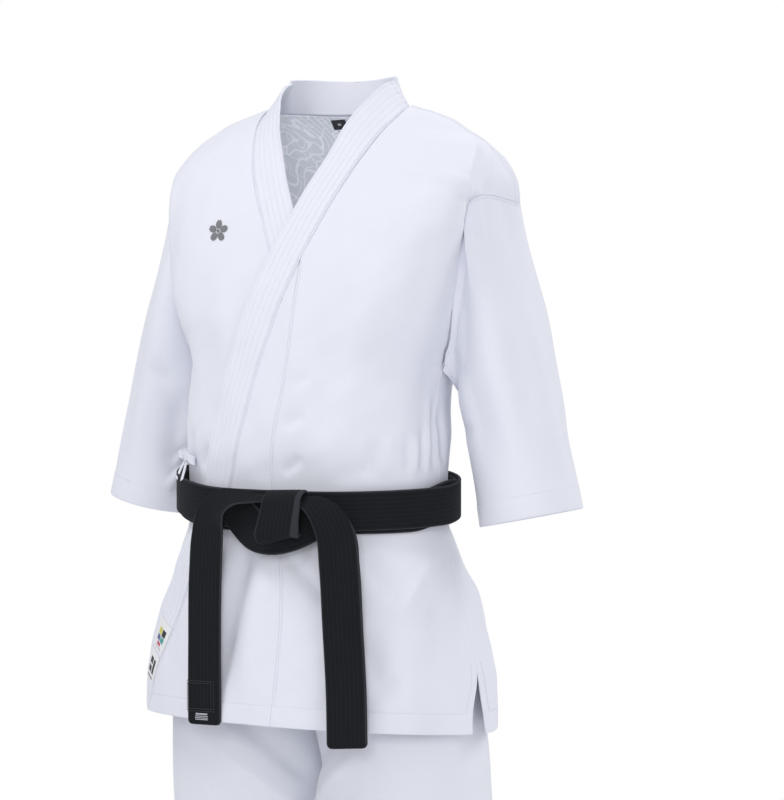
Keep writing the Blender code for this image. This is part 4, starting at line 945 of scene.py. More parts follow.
def make_fronts():
    """Over and under front, each a main panel and the narrow extension beside its straight seam."""
    for over, name in ((True, "left_front"), (False, "right_front")):
        h = with_marks(0, RIDGE, CELL, (JACKET_HEM,))
        inner = np.where(h <= FRONT_SEAM_TOP, seam_curve(FRONT_SEAM, over, np.minimum(h, FRONT_SEAM_TOP)),
                         seam_curve(BAND_SEAM, over, h))
        outer = 1 - 0.125 * (1 - ease(h, 0.0, 0.085))
        q = np.linspace(0, 1, 74)
        u = inner[:, None] + (outer - inner)[:, None] * q[None, :]
        w = np.repeat(h[:, None], len(q), 1)
        p, n = lay(u, w, over, mirror=not over)
        p = inset(p, left=SEAM / 2, right=SEAM / 2, high=SEAM / 2)
        low, high, left, right = edge_lengths(p)
        slit = ease(0.092 - low, 0, 0.01)
        relief = hem_relief(low, JACKET_HEM) + slit * hem_relief(right, 0.012, 0.0004, 0.0003)
        piece = cloth_mesh(name + "_cloth", [(p, n, 0.0, WALL + relief, False, ALL_SIDES)], COTTON)
        dress(piece, [name])
        lines = [line_at(p, n, JACKET_HEM, "low", WALL + 0.0002),
                 line_at(p, n, 0.0030, "left", WALL + 0.0002)[:np.searchsorted(h, FRONT_SEAM_TOP)],
                 line_at(p, n, 0.0030, "high", WALL + 0.0002),
                 line_at(p, n, 0.012, "right", WALL + 0.0003)[:np.searchsorted(h, 0.085)]]
        sewn = stitches(name + "_stitches", lines, THREAD)

        h = with_marks(0, 0.530, CELL, (JACKET_HEM,))
        h = np.concatenate([h, [0.536, 0.542, FRONT_SEAM_TOP]])
        a, b = seam_curve(BAND_SEAM, over, h), seam_curve(FRONT_SEAM, over, h)
        q = np.linspace(0, 1, 26)
        u = a[:, None] + (b - a)[:, None] * q
        w = np.repeat(h[:, None], len(q), 1)
        p, n = lay(u, w, over, mirror=not over)
        p = inset(p, left=SEAM / 2, right=SEAM / 2)
        low, high, left, right = edge_lengths(p)
        piece = cloth_mesh(name + "_edge_cloth", [(p, n, 0.0, WALL + hem_relief(low, JACKET_HEM), False, ("low", "left", "right"))],
                           COTTON)
        dress(piece, [name + "_edge"])
        sewn = stitches(name + "_edge_stitches", [line_at(p, n, JACKET_HEM, "low", WALL + 0.0002)], THREAD)


def neck_line(turns):
    """Seam of the back with the collar band: u, w from the wearer's left shoulder point to the right one."""
    ul = seam_curve(BAND_SEAM, True, np.array(RIDGE))
    ur = seam_curve(BAND_SEAM, False, np.array(RIDGE))
    a = np.linspace(0, math.pi, turns + 1)
    return np.where(np.cos(a) > 0, ul, ur) * np.cos(a), RIDGE + BACK_NECK_DROP * np.sin(a)


def make_back():
    """Back panel from the shoulders and the curved neck down to the hem."""
    rows = 1 - with_marks(0, 1, CELL / RIDGE, (JACKET_HEM / RIDGE,), 0.0022 / RIDGE)[::-1]
    nu, nw = neck_line(64)
    side = 62
    u = np.concatenate([np.linspace(1, nu[0], side)[:-1], nu, np.linspace(nu[-1], -1, side)[1:]])[::-1]
    top = np.concatenate([np.full(side - 1, RIDGE), nw, np.full(side - 1, RIDGE)])[::-1]
    w = top[None, :] + (BODY_END - top)[None, :] * rows[:, None]
    uu = np.repeat(u[None, :], len(rows), 0)
    p, n = body(uu, w), body_wall(uu, w)
    p = p + n * body_folds(uu, w)[..., None]
    p = inset(p, left=SEAM / 2, right=SEAM / 2, low=SEAM / 2)
    low, high, left, right = edge_lengths(p)
    piece = cloth_mesh("back_cloth", [(p, n, 0.0, WALL + hem_relief(high, JACKET_HEM), False, ALL_SIDES)], COTTON)
    dress(piece, ["back"])
    end = np.searchsorted(w[:, 0], BODY_END - 0.085)
    lines = [line_at(p, n, JACKET_HEM, "high", WALL + 0.0002), line_at(p, n, 0.0030, "low", WALL + 0.0002),
             line_at(p, n, 0.012, "left", WALL + 0.0003)[end:], line_at(p, n, 0.012, "right", WALL + 0.0003)[end:]]
    sewn = stitches("back_stitches", lines, THREAD)


def band_strip(u, w, over, lean, mirror, cells, start_sign=0, end_sign=0):
    """Collar band: from its seam on the body out to the free edge, over the cloth or leaning up from it."""
    def folds(uu, ww):
        return body_folds(-uu if mirror else uu, ww)[:, None]

    along = unit(np.gradient(body(u, w), axis=0))
    _, up = body_tangents(u, w)
    turn = 1 - ease(np.arange(BAND_TURN), 0, BAND_TURN - 1)[:, None]
    for sign, rows in ((start_sign, np.arange(BAND_TURN)), (end_sign, -1 - np.arange(BAND_TURN))):
        if sign:
            along[rows] = unit(along[rows] * (1 - turn) + unit(up[rows]) * sign * turn)
    n0 = body_wall(u, w)
    start = body(u, w) + n0 * folds(u, w)
    if over:
        start = start + n0 * over_lift(u, w)[:, None]
    inward = unit(np.cross(n0, along))
    lean = np.radians(lean)[:, None]
    start = start + inward * (BAND_HIGH + 0.0004) * np.sin(lean) - n0 * 0.0050 * ease(np.sin(lean), 0.2, 0.7)
    straight, follow, walls = [start], [start], [n0]
    uu, ww, direction = u.copy(), w.copy(), inward
    for k in range(1, cells + 1):
        step = BAND_WIDTH / cells
        pu, pw = body_tangents(uu, ww)
        nn = unit(np.cross(pu, pw))
        direction = unit(direction - nn * np.sum(direction * nn, -1, keepdims=True))
        g11, g12, g22 = np.sum(pu * pu, -1), np.sum(pu * pw, -1), np.sum(pw * pw, -1)
        b1, b2 = np.sum(direction * pu, -1) * step, np.sum(direction * pw, -1) * step
        det = g11 * g22 - g12 * g12
        uu = np.clip(uu + (g22 * b1 - g12 * b2) / det, -1, 1)
        ww = np.clip(ww + (g11 * b2 - g12 * b1) / det, 0, BODY_END)
        nq = body_normal(uu, ww)
        q = body(uu, ww) + nq * folds(uu, ww)
        if over:
            q = q + nq * over_lift(uu, ww)[:, None]
        follow.append(q)
        straight.append(start + (inward * np.cos(lean) + n0 * np.sin(lean)) * step * k)
        walls.append(nq)
    m = ease(np.degrees(lean), 2, 14)
    p = np.stack([f * (1 - m) + s * m for f, s in zip(follow, straight)], 1)
    tilt = unit(n0 * np.cos(lean) - inward * np.sin(lean))
    n = np.stack([unit(g * (1 - m) + tilt * m) for g in walls], 1)
    if mirror:
        p, n = p * np.array([-1, 1, 1]), n * np.array([-1, 1, 1])
    return p, n


def band_piece(name, p, n):
    """One length of the collar band, quilted by rows of stitches."""
    low, high, left, right = edge_lengths(p)
    row_gap = BAND_WIDTH / BAND_ROWS
    phase = left / row_gap - 0.5
    drawn = np.exp(-(((phase - np.round(phase)) * row_gap / 0.0010) ** 2))
    relief = -0.00028 * drawn
    piece = cloth_mesh(name + "_cloth", [(p, n, BAND_LOW, BAND_HIGH + relief, False, ALL_SIDES)], BAND)
    dress(piece, [name])
    rows = np.arange(p.shape[0])
    lines = [line_at(p, n, row_gap * (k + 0.5), "left", BAND_HIGH - 0.00025) for k in range(BAND_ROWS)]
    lines.append(line_at(p, n, 0.0022, "left", BAND_HIGH + 0.0001))
    sewn = stitches(name + "_stitches", lines, THREAD, radius=0.00026)
    return piece, sewn


def bring_together(first, second, flip=False, reach=9):
    """Let two strips of the band end on one shared line with one wall direction; flip joins the second's far end."""
    (pa, na), (pb, nb) = first, second
    ends = (-1, -1 if flip else 0)
    place = (pa[-1] + pb[ends[1]]) / 2
    wall = unit(na[-1] + nb[ends[1]])
    fade = 1 - ease(np.arange(reach), 0, reach - 1)
    for (p, n), rows in ((first, -1 - np.arange(reach)), (second, -1 - np.arange(reach) if flip else np.arange(reach))):
        move, turn = place - p[rows[0]], wall - n[rows[0]]
        p[rows] += fade[:, None, None] * move
        n[rows] = unit(n[rows] + fade[:, None, None] * turn)


def make_collar():
    """Collar band: up one front, round the neck and down the other."""
    h = with_marks(0, RIDGE, CELL)
    lean = column(BAND_LEAN, 1, h)
    left, right = (band_strip(seam_curve(BAND_SEAM, over, h), h, over, lean, not over, 36, end_sign=1)
                   for over in (True, False))
    turns = 72
    u, w = neck_line(turns)
    neck_lean = SHOULDER_LEAN + (BACK_NECK_LEAN - SHOULDER_LEAN) * np.sin(np.linspace(0, math.pi, turns + 1))
    neck = band_strip(u, w, None, neck_lean, False, 36, start_sign=1, end_sign=-1)
    bring_together(left, neck)
    bring_together(right, neck, flip=True)
    for (p, n), over, name in ((left, True, "collar_band_left"), (right, False, "collar_band_right")):
        p = inset(p, left=SEAM / 2, high=SEAM / 2)
        piece, sewn = band_piece(name, p, n)
    p, n = neck
    p = inset(p, left=SEAM / 2, low=SEAM / 2, high=SEAM / 2)
    piece, sewn = band_piece("collar_band_neck", p, n)


def make_sleeves():
    """Wide sleeves set on the dropped shoulders, each a tube with a turned hem."""
    theta = np.linspace(0, 2, 113)[:-1]
    v = np.concatenate([[0], with_marks(0.012, 1, 0.0185, (0.878,), 0.009)])
    t, s = np.meshgrid(theta, v)
    base = sleeve(t, s)
    n0 = grid_normal(base, closed=True)
    n0 = n0 * np.sign(np.median(np.sum(n0 * (base - base.mean(axis=1, keepdims=True)), -1)))
    for side, name, table in ((1, "left_sleeve", LEFT_SLEEVE_FOLDS), (-1, "right_sleeve", RIGHT_SLEEVE_FOLDS)):
        own = fold_heights(base, n0, table, sleeve) + swell(base * [side, 1, 1], 0.10, 0.0011, 5)
        seam, w = armhole(theta)
        shared = body_folds(np.full_like(w, side), w)
        moved = (body_wall(np.ones_like(w), w) * shared[:, None])[None]
        p = base + n0 * (own * ease(s, 0.0, 0.10))[..., None] + moved * (1 - ease(s, 0.0, 0.20))[..., None]
        sh = shared_normal(t)
        k = (1 - ease(s, 0.0, 0.16))[..., None] * ease(np.minimum(t, 2 - t), 0.03, 0.14)[..., None]
        n = unit(grid_like(p, n0) * (1 - k) + sh * k)
        p[0] += unit(p[1] - p[0]) * SEAM
        flip = np.array([side, 1, 1])
        p, n = p * flip, n * flip
        low, high, left, right = edge_lengths(p)
        relief = hem_relief(high, CUFF_HEM)
        piece = cloth_mesh(name + "_cloth", [(p, n, 0.0, WALL + relief, True, ("low", "high"))], COTTON)
        dress(piece, [name])
        lines = [ring(line_at(p, n, CUFF_HEM, "high", WALL + 0.0002)), ring(line_at(p, n, 0.0030, "low", WALL + 0.0002))]
        sewn = stitches(name + "_stitches", lines, THREAD)


def ring(path):
    return np.concatenate([path, path[:1]])


def grid_like(p, n):
    """Normals of a folded tube, facing the way its smooth form's normals face."""
    g = grid_normal(p, closed=True)
    return g * np.sign(np.sum(g * n, -1, keepdims=True))


# Trousers

def leg_points(theta, z):
    """Trouser leg, wearer's left: theta 0 at the middle of the front, round the outside to 1 at the back."""
    rows = np.array([(-r[0], *r[1:]) for r in LEGS])
    c = smooth_columns(rows[:, 0], rows[:, 1:], -z)
    yf, yb, xo, n = (c[..., k] for k in range(4))
    a = theta * math.pi
    sn, cs = np.abs(np.sin(a)), np.cos(a)
    r = (sn**n + np.abs(cs) ** n) ** (-1 / n)
    ym = -0.045 + 0.015 * ease(-z, 0.50, 0.62)
    half_y = np.where(cs > 0, ym + (yf - ym) * cs * r, ym + (yb - ym) * -cs * r)
    half_x = xo * sn * r
    inner = 0.010 * ease(-z, -CROTCH_Z, 0.98)
    cx, rx = (xo + inner) / 2, (xo - inner) / 2
    cy, ry = (yf + yb) / 2, (yb - yf) / 2
    b = theta * 2 * math.pi
    full_x, full_y = cx - rx * np.cos(b), cy - ry * np.sin(b)
    m = ease(-z, 0.600, -CROTCH_Z)
    x = half_x * (1 - m) + full_x * m
    y = half_y * (1 - m) + full_y * m
    edge = np.exp(-((np.minimum(theta, 1 - theta) / 0.05) ** 2)) * m
    y = y * (1 - edge) + (CROTCH_Y + (y - CROTCH_Y) * 0.7) * edge
    return np.stack([np.maximum(x, 0) + SEAM / 2, y, z], -1)


def make_trousers():
    """One piece for each leg, with a centre seam between them, and a plain waistband."""
    z = -with_marks(-TROUSER_TOP, -TROUSER_END, CELL * 1.15, (-TROUSER_END - TROUSER_HEM,))
    theta = np.linspace(0, 1, 125)
    t, zz = np.meshgrid(theta, z)
    base = leg_points(t, zz)
    n0 = grid_normal(base)
    mid = base[:, [62]] * np.array([0, 0, 1]) + np.array([0.10, -0.02, 0])
    n0 = n0 * np.sign(np.median(np.sum(n0 * (base - mid), -1)))
    for side, name in ((1, "left_leg"), (-1, "right_leg")):
        waves = swell(base * [side, 1, 1], 0.13, 0.0014, 8)
        free = ease(-zz, 0.53, 0.64) * ease(np.minimum(t, 1 - t), 0.0, 0.07)
        own = (fold_heights(base, n0, LEG_FOLDS, leg_points) + waves) * free
        p = base + n0 * own[..., None]
        n = grid_normal(p)
        n = n * np.sign(np.sum(n * n0, -1, keepdims=True))
        n[:, 0] = unit(n[:, 0] * [0, 1, 1])
        n[:, -1] = unit(n[:, -1] * [0, 1, 1])
        flip = np.array([side, 1, 1])
        p, n = p * flip, n * flip
        low, high, left, right = edge_lengths(p)
        piece = cloth_mesh(name + "_cloth", [(p, n, -WALL, hem_relief(high, TROUSER_HEM), False, ALL_SIDES)], TROUSER)
        dress(piece, [name])
        lines = [line_at(p, n, TROUSER_HEM, "high", 0.0002), line_at(p, n, TROUSER_HEM - 0.006, "high", 0.0006),
                 line_at(p, n, 0.004, "left", 0.0002)[:70], line_at(p, n, 0.004, "right", 0.0002)[:70]]
        sewn = stitches(name + "_stitches", lines, THREAD)
    top = leg_points(theta, np.full_like(theta, TROUSER_TOP))
    around = np.concatenate([top[1:-1], (top * [-1, 1, 1])[::-1][1:-1]])
    heights = np.linspace(SEAM, 0.042, 11)
    p = around[None] + np.stack([0 * heights, 0 * heights, heights], -1)[:, None]
    n = grid_normal(p, closed=True)
    n = n * np.sign(np.median(np.sum(n * (p - p.mean(1, keepdims=True)), -1)))
    wrinkle = swell(p, 0.012, 0.0004, 9)
    piece = cloth_mesh("waistband_cloth", [(p, n, -0.003, wrinkle - 0.0006, True, ("low", "high"))], TROUSER)
    dress(piece, ["waistband"])


# Lining and labels

def make_lining():
    """Half lining of the back with the woven labels at its neck."""
    u = np.linspace(-0.80, 0.80, 120)
    un = seam_curve(BAND_SEAM, True, np.array(RIDGE))
    top = RIDGE + 0.0008 + BACK_NECK_DROP * np.sqrt(np.clip(1 - (u / un) ** 2, 0, 1))
    low = RIDGE + 0.300
    q = np.linspace(0, 1, 66)[:, None]
    w = top[None, :] + (low - top)[None, :] * q
    uu = np.repeat(u[None, :], len(q), 0)
    p, n = body(uu, w), body_normal(uu, w)
    p = p + n * np.minimum(body_folds(uu, w), 0)[..., None]
    lining = cloth_mesh("yoke_lining_cloth", [(p, n, LINING_LOW, LINING_HIGH, False, ALL_SIDES)], LINING)
    dress(lining, ["yoke_lining"])
    coarse = RIDGE + 0.002 + BACK_NECK_DROP
    for name, rows, across, material, slot, nodes in (
            ("neck_label", (0.02, 0.46), (-0.092, -0.036), NECK_LABEL, "label_dark", ["neck_label"]),
            ("size_tag", (0.50, 0.88), (-0.078, -0.046), SIZE_TAG, "label_white", ["size_tag"])):
        wl = coarse + (low - coarse) * np.linspace(*rows, 12) / 8
        ul = np.linspace(*across, 14)
        ww, uu = np.meshgrid(wl, ul, indexing="ij")
        p, n = body(uu, ww), body_normal(uu, ww)
        p = p + n * np.minimum(body_folds(uu, ww), 0)[..., None]
        label = cloth_mesh(name + "_cloth", [(p, n, LINING_LOW - 0.0020, LINING_LOW - 0.0013, False, ALL_SIDES)], material)
        dress(label, nodes)


def make_hem_labels():
    """Two small woven labels at the lower corner of the over front, with plain coloured blocks."""
    for name, low, high, material in (("hem_label_upper", 0.068, 0.102, UPPER_LABEL),
                                      ("hem_label_lower", 0.030, 0.064, LOWER_LABEL)):
        h = np.linspace(low, high, 16)
        u = seam_curve(BAND_SEAM, True, h)
        p, n = band_strip(u, h, True, np.zeros_like(h), False, 24)
        p, n = p[:, 1:18], n[:, 1:18]
        label = cloth_mesh(name + "_cloth", [(p, n, BAND_HIGH + 0.0003, BAND_HIGH + 0.0010, False, ALL_SIDES)], material)
        dress(label, [name])


def make_chest_mark():
    """Small embroidered blossom on the wearer's right chest: five petals round a centre."""
    u0, w0 = -0.300, 0.586
    pu, pw = body_tangents(np.array(u0), np.array(w0))
    sheets = []
    for k in range(5):
        turn = math.radians(90 + 72 * k)
        s, t = np.meshgrid(np.linspace(0.0032, 0.0138, 9), np.linspace(-1, 1, 7), indexing="ij")
        half = 0.0042 * np.sin(np.clip((s - 0.0022) / 0.0122, 0.02, 0.98) * math.pi) ** 0.6
        notch = 0.0012 * (s > 0.0130) * (1 - np.abs(t))
        x = (s - notch) * math.cos(turn) - t * half * math.sin(turn)
        y = (s - notch) * math.sin(turn) + t * half * math.cos(turn)
        sheets.append((x, y))
    a, r = np.meshgrid(np.linspace(0, 2 * math.pi, 15)[:-1], [0.0021, 0.0012, 0.0003], indexing="ij")
    grids = []
    for x, y in sheets:
        uu, ww = u0 + x / np.linalg.norm(pu), w0 + y / np.linalg.norm(pw)
        p, n = lay(-uu, ww, False, mirror=True)
        grids.append((p, n, WALL + 0.0001, WALL + 0.0009, False, ALL_SIDES))
    uu, ww = u0 + r.T * np.cos(a.T) / np.linalg.norm(pu), w0 + r.T * np.sin(a.T) / np.linalg.norm(pw)
    p, n = lay(-uu, ww, False, mirror=True)
    grids.append((p, n, WALL + 0.0001, WALL + 0.0010, True, ("low",)))
    mark = cloth_mesh("chest_mark", grids, DARK_THREAD)
    dress(mark, [])
    return mark


# Belt

def belt_rows(across):
    """Thickness pattern over the belt's width: low along each row of stitches."""
    gap = BELT_WIDTH / BELT_ROWS
    phase = across / gap - 0.5
    return -0.00012 * np.exp(-(((phase - np.round(phase)) * gap / 0.0007) ** 2))


def belt_columns():
    gap = BELT_WIDTH / BELT_ROWS
    marks = [gap * (k + 0.5) for k in range(BELT_ROWS)]
    return with_marks(0, BELT_WIDTH, 0.0024, marks, 0.0009)


def make_wraps():
    """The two turns of the belt round the waist."""
    across = belt_columns()
    for name, low, drop, seed in (("belt_wrap_inner", BELT_INNER, 0.004, 21),
                                  ("belt_wrap_outer", BELT_INNER + BELT_THICK + BELT_SEAM, 0.0, 22)):
        u = np.concatenate([np.linspace(-1, 1, 106)[:-1], np.linspace(1, -1, 106)[:-1]])
        w = np.concatenate([np.full(105, 0.265), np.full(105, BODY_END - 0.265)])
        p = body(u, w)
        n = unit(body_normal(u, w) * [1, 1, 0])
        rise = swell(p, 0.16, 0.0007, seed) + 0.013 * ease(-u, 0.25, 0.95)
        if name == "belt_wrap_inner":
            rise = rise + 0.009 * ease(u, 0.70, 1.0)
        grid = np.stack([p + np.stack([0 * u, 0 * u, rise + a - BELT_WIDTH / 2 - drop], -1) for a in across])
        wall = np.repeat(n[None], len(across), 0)
        rows = belt_rows(across)[:, None]
        piece = cloth_mesh(name + "_cloth", [(grid, wall, low - rows, low + BELT_THICK + rows, True, ("low", "high"))], BELT)
        turn_uv(piece)
        dress(piece, [name])


def turn_uv(obj):
    """Swap the lengths across and along, for belt pieces whose grid runs the other way."""
    layer = obj.data.uv_layers["cloth"].data
    values = np.empty(2 * len(layer), np.float32)
    layer.foreach_get("uv", values)
    values = values.reshape(-1, 2)[:, ::-1]
    layer.foreach_set("uv", np.ascontiguousarray(values).reshape(-1))


def ribbon_grid(stations, steps, across, full):
    """Grid of a flat ribbon swept through stations of centre, direction across and width."""
    rows = np.array([(*c, *a, wd) for c, a, wd in stations], float)
    far = np.concatenate([[0], np.cumsum(np.linalg.norm(np.diff(rows[:, :3], axis=0), axis=1))])
    at = np.concatenate([np.linspace(0, far[-1] - TIP_ROUND, steps), far[-1] - TIP_ROUND * np.array([0.8, 0.6, 0.4, 0.2, 0.1, 0])])
    c = smooth_columns(far, rows, at if far[-1] > 0.25 else np.linspace(0, far[-1], steps))
    centre, side, wide = c[:, :3], unit(c[:, 3:6]), c[:, 6:7]
    along = unit(np.gradient(centre, axis=0))
    side = unit(side - along * np.sum(side * along, -1, keepdims=True))
    normal = unit(np.cross(along, side))
    part = (across / full - 0.5)[None, :, None]
    p = centre[:, None] + side[:, None] * wide[:, None] * part
    return p, np.repeat(normal[:, None], len(across), 1)


KNOT_UNDER = [
    ((-0.042, -0.1656, -0.461), (0.30, 0.0, 1.0), 0.040), ((-0.022, -0.1720, -0.474), (0.35, 0.10, 1.0), 0.045),
    ((0.004, -0.1800, -0.488), (0.20, 0.22, 1.0), 0.045), ((0.034, -0.1815, -0.488), (-0.10, 0.22, 1.0), 0.045),
    ((0.062, -0.1740, -0.476), (-0.30, 0.10, 1.0), 0.045), ((0.084, -0.1601, -0.464), (-0.30, -0.05, 1.0), 0.036),
]
KNOT_FRONT = [
    ((0.0430, -0.1593, -0.4430), (1.0, 0.12, 0.0), 0.038), ((0.0430, -0.1730, -0.4410), (1.0, 0.04, 0.01), 0.043),
    ((0.0430, -0.1850, -0.4385), (1.0, 0.0, 0.04), 0.049), ((0.0425, -0.1945, -0.4445), (1.0, 0.0, 0.08), 0.050),
    ((0.0415, -0.1985, -0.4600), (1.0, 0.0, 0.15), 0.051), ((0.0390, -0.1990, -0.4780), (1.0, 0.0, 0.24), 0.053),
    ((0.0370, -0.1965, -0.4890), (1.0, 0.0, 0.28), 0.054), ((0.0375, -0.1885, -0.4940), (1.0, 0.0, 0.28), 0.051),
]
END_RIGHT = [
    ((0.022, -0.1835, -0.4480), (0.10, 0.80, 0.60), 0.010), ((-0.004, -0.1835, -0.4480), (0.10, 0.80, 0.60), 0.016),
    ((-0.026, -0.1850, -0.4480), (-0.10, 0.70, 0.70), 0.024), ((-0.045, -0.1860, -0.4540), (-0.45, 0.45, 0.75), 0.035),
    ((-0.060, -0.1835, -0.4710), (-0.85, 0.20, 0.45), 0.043), ((-0.0675, -0.1790, -0.4970), (-1.0, 0.10, 0.15), 0.045),
    ((-0.0715, -0.1770, -0.5350), (-1.0, 0.05, 0.03), 0.045), ((-0.0710, -0.1800, -0.6200), (-1.0, 0.02, 0.0), 0.045),
    ((-0.0690, -0.1833, -0.7120), (-1.0, 0.02, 0.04), 0.045),
]
END_LEFT = [
    ((0.060, -0.1882, -0.4470), (0.35, 0.70, 0.45), 0.014), ((0.079, -0.1880, -0.4530), (0.66, 0.50, 0.40), 0.026),
    ((0.094, -0.1850, -0.4660), (0.86, 0.38, 0.22), 0.038), ((0.1030, -0.1785, -0.4880), (0.92, 0.38, 0.05), 0.045),
    ((0.1045, -0.1740, -0.5200), (0.90, 0.42, -0.03), 0.046), ((0.1090, -0.1740, -0.5900), (0.90, 0.42, 0.0), 0.046),
    ((0.1150, -0.1770, -0.6600), (0.90, 0.42, 0.0), 0.046), ((0.1190, -0.1815, -0.7250), (0.90, 0.42, 0.0), 0.046),
]


def round_tip(p):
    """Round the two corners at the far end of a strip."""
    low, high, left, right = edge_lengths(p)
    over = np.clip(TIP_ROUND - high[:, [p.shape[1] // 2]], 0, TIP_ROUND)
    cut = TIP_ROUND - np.sqrt(TIP_ROUND**2 - over**2)
    middle = p.mean(1, keepdims=True)
    return middle + (p - middle) * (1 - cut / (BELT_WIDTH / 2))[..., None]


def end_patch(p, n, half):
    """Plain stitched rectangle and a small tag with three bars near the tip of the hanging end."""
    n = n * np.sign(-n[..., 1:2])
    low, high, left, right = edge_lengths(p)
    rise = half + 0.0002
    tip = high[:, p.shape[1] // 2]

    def spot(up, across):
        row = np.interp(-np.asarray(up, float), -tip, np.arange(len(tip)))
        col = np.interp(across, left[-1], np.arange(p.shape[1]))
        return sample_row(p, n, row, col, rise)

    def outline(low_edge, high_edge, near, far):
        up = np.concatenate([np.linspace(low_edge, high_edge, 12), np.full(12, high_edge),
                             np.linspace(high_edge, low_edge, 12), np.full(12, low_edge)])
        across = np.concatenate([np.full(12, near), np.linspace(near, far, 12), np.full(12, far),
                                 np.linspace(far, near, 12)])
        return spot(up, across)

    seams = [outline(0.0155, 0.0500, 0.0065, 0.0345), outline(0.0180, 0.0475, 0.0090, 0.0320)]
    frame_seams = stitches("belt_patch_stitches", seams, BELT_THREAD, radius=0.0004)
    bars = [spot(np.full(8, up), np.linspace(start, stop, 8))
            for up, start, stop in ((0.0128, 0.0135, 0.0240), (0.0118, 0.0135, 0.0240), (0.0098, 0.0130, 0.0170),
                                    (0.0098, 0.0185, 0.0245), (0.0078, 0.0130, 0.0245), (0.0060, 0.0130, 0.0245))]
    tag = stitches("belt_tag_bars", bars, THREAD, pitch=0.0016, length=0.0014, radius=0.0004)
    return [frame_seams, tag]


def make_knot():
    """Knot of the belt and its two hanging ends."""
    across = belt_columns()
    for name, stations, steps, flat in (("belt_knot_under", KNOT_UNDER, 40, (0.045, 0.155)),
                                        ("belt_knot_front", KNOT_FRONT, 44, (0.047, 0.11)),
                                        ("belt_end_right", END_RIGHT, 90, (0.045, 0.32)),
                                        ("belt_end_left", END_LEFT, 84, (0.045, 0.31))):
        p, n = ribbon_grid(stations, steps, across, BELT_WIDTH)
        p = p + n * swell(p, 0.09, 0.0004, 31)[..., None]
        if "end" in name:
            p = round_tip(p)
        rows = belt_rows(across)[None, :]
        half = BELT_THICK / 2
        piece = cloth_mesh(name + "_cloth", [(p, n, -half - rows, half + rows, False, ALL_SIDES)], BELT)
        dress(piece, [name])
        sewn = []
        if name == "belt_end_right":
            sewn = end_patch(p, n, half)


def make_side_tie():
    """Small bow of the inner tie at the wearer's right, just above the belt."""
    u, w = np.array(-0.61), np.array(0.316)
    out = unit(body_normal(u, w) * np.array([1, 1, 0]))
    side = np.array([-out[1], out[0], 0.0]) * -1
    base = body(u, w) + out * (WALL - 0.0010)
    up = np.array([0.0, 0.0, 1.0])

    def at(a, b, c):
        return tuple(base + side * a + up * b + out * c)

    wide, thick = 0.009, 0.0012
    flat = tuple(up * 0.9 + out * 0.1)
    pieces = {"side_tie_knot": ([
        (at(0, -0.0050, 0.0045), tuple(side), 0.0080), (at(0, 0.0, 0.0050), tuple(side), 0.0090),
        (at(0, 0.0050, 0.0045), tuple(side), 0.0080)], 12, 0.0060, None)}
    for name, s in (("side_tie_loop_front", 1), ("side_tie_loop_back", -1)):
        pieces[name] = ([
            (at(s * 0.006, 0.0, 0.0075), flat, wide * 0.7), (at(s * 0.016, 0.003, 0.0095), flat, wide),
            (at(s * 0.028, 0.000, 0.0070), flat, wide), (at(s * 0.030, -0.003, 0.0030), flat, wide),
            (at(s * 0.016, -0.001, 0.0010), flat, wide), (at(s * 0.006, 0.0, 0.0020), flat, wide * 0.7)],
            48, thick, (0.010, 0.052))
    for name, s in (("side_tie_tail_front", 1), ("side_tie_tail_back", -1)):
        pieces[name] = ([
            (at(s * 0.0045, -0.0060, 0.0070), tuple(side), wide * 0.6), (at(s * 0.010, -0.014, 0.0100), tuple(side), wide),
            (at(s * 0.014, -0.026, 0.0142), tuple(side), wide)], 20, thick, (0.010, 0.023))
    across = np.linspace(0, 1, 11)
    for name, (stations, steps, deep, flat_size) in pieces.items():
        p, n = ribbon_grid(stations, steps, across, 1.0)
        puff = 0.0 if deep < 0.003 else -0.0016
        edge = puff * (2 * np.abs(across - 0.5)) ** 2
        piece = cloth_mesh(name + "_cloth", [(p, n, -deep / 2 - edge[None], deep / 2 + edge[None], False, ALL_SIDES)], BAND)
        dress(piece, [name])


# Studio

def studio_light(name, place, aim, size, power, tint):
    lamp = bpy.data.lights.new(name, "AREA")
    lamp.shape, lamp.size, lamp.size_y = "RECTANGLE", size[0], size[1]
    lamp.energy, lamp.color = power, tint
    obj = bpy.data.objects.new(name, lamp)
    obj.location = place
    obj.rotation_euler = (Vector(aim) - Vector(place)).to_track_quat("-Z", "Y").to_euler()
    bpy.context.scene.collection.objects.link(obj)


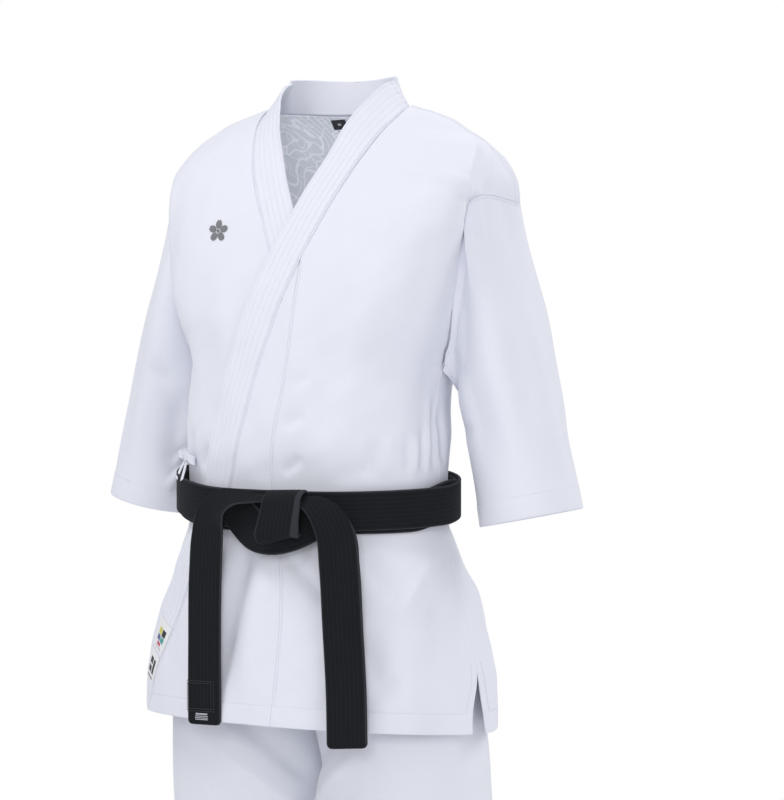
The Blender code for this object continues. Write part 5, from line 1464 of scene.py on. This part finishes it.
def make_studio():
    """White backdrop all round, large soft lamps and a pale floor."""
    world = bpy.data.worlds.new("white_studio")
    bpy.context.scene.world = world
    world.use_nodes = True
    tree = world.node_tree
    seen = tree.nodes["Background"]
    seen.inputs["Color"].default_value = (1.0, 1.0, 1.0, 1.0)
    seen.inputs["Strength"].default_value = 1.0
    given = add(tree, "ShaderNodeBackground")
    given.inputs["Color"].default_value = (0.965, 0.97, 1.0, 1.0)
    given.inputs["Strength"].default_value = 0.60
    choice = add(tree, "ShaderNodeMixShader")
    tree.links.new(add(tree, "ShaderNodeLightPath").outputs["Is Camera Ray"], choice.inputs[0])
    tree.links.new(given.outputs[0], choice.inputs[1])
    tree.links.new(seen.outputs[0], choice.inputs[2])
    tree.links.new(choice.outputs[0], tree.nodes["World Output"].inputs["Surface"])
    middle = (0.0, 0.0, -0.5)
    studio_light("front_softbox", (1.5, -3.3, 0.5), middle, (1.0, 1.0), 30, (1.0, 0.99, 1.0))
    studio_light("top_softbox", (-1.2, -1.5, 2.6), middle, (1.2, 1.2), 38, (1.0, 1.0, 1.0))
    studio_light("side_softbox", (3.0, -1.5, 0.2), middle, (1.4, 2.0), 7, (1.0, 1.0, 1.0))
    studio_light("back_softbox", (1.9, 2.6, 1.7), middle, (1.4, 1.4), 44, (1.0, 1.0, 1.0))
    bpy.ops.mesh.primitive_cylinder_add(vertices=96, radius=3.0, depth=0.02, location=(0, 0, 0))
    floor = bpy.context.object
    floor.name = "studio_floor"
    floor.data.transform(Matrix.Translation((0, 0, -1.52)))
    paint = bpy.data.materials.new("floor_paint")
    paint.use_nodes = True
    paint.node_tree.nodes["Principled BSDF"].inputs["Base Color"].default_value = (0.86, 0.87, 0.89, 1.0)
    paint.node_tree.nodes["Principled BSDF"].inputs["Roughness"].default_value = 0.7
    floor.data.materials.append(paint)
    bpy.context.scene.view_settings.view_transform = "Standard"


def make_camera():
    """Camera of the photograph: 3.3 m away, 30 degrees to the wearer's left, almost level."""
    lens = bpy.data.cameras.new("photo_camera")
    lens.sensor_width = 36
    lens.lens = 2772 / 800 * 36
    obj = bpy.data.objects.new("photo_camera", lens)
    bpy.context.scene.collection.objects.link(obj)
    bpy.context.scene.camera = obj
    yaw, turn, dip = math.radians(30), math.radians(1.16), math.radians(2.4)
    ahead = Vector((-math.sin(yaw), math.cos(yaw), 0))
    right = Vector((math.cos(yaw), math.sin(yaw), 0))
    up = Vector((0, 0, 1))
    ahead = ahead * math.cos(turn) + right * math.sin(turn)
    right = ahead.cross(up).normalized()
    ahead = ahead * math.cos(dip) - up * math.sin(dip)
    up = right.cross(ahead)
    place = Matrix((right, up, -ahead)).transposed().to_4x4()
    place.translation = Vector((3.3 * math.sin(yaw), -3.3 * math.cos(yaw), -0.205))
    obj.matrix_world = place


make_camera()
make_studio()
make_fronts()
make_back()
make_collar()
make_sleeves()
make_trousers()
make_lining()
make_hem_labels()
make_chest_mark()
make_wraps()
make_knot()
make_side_tie()
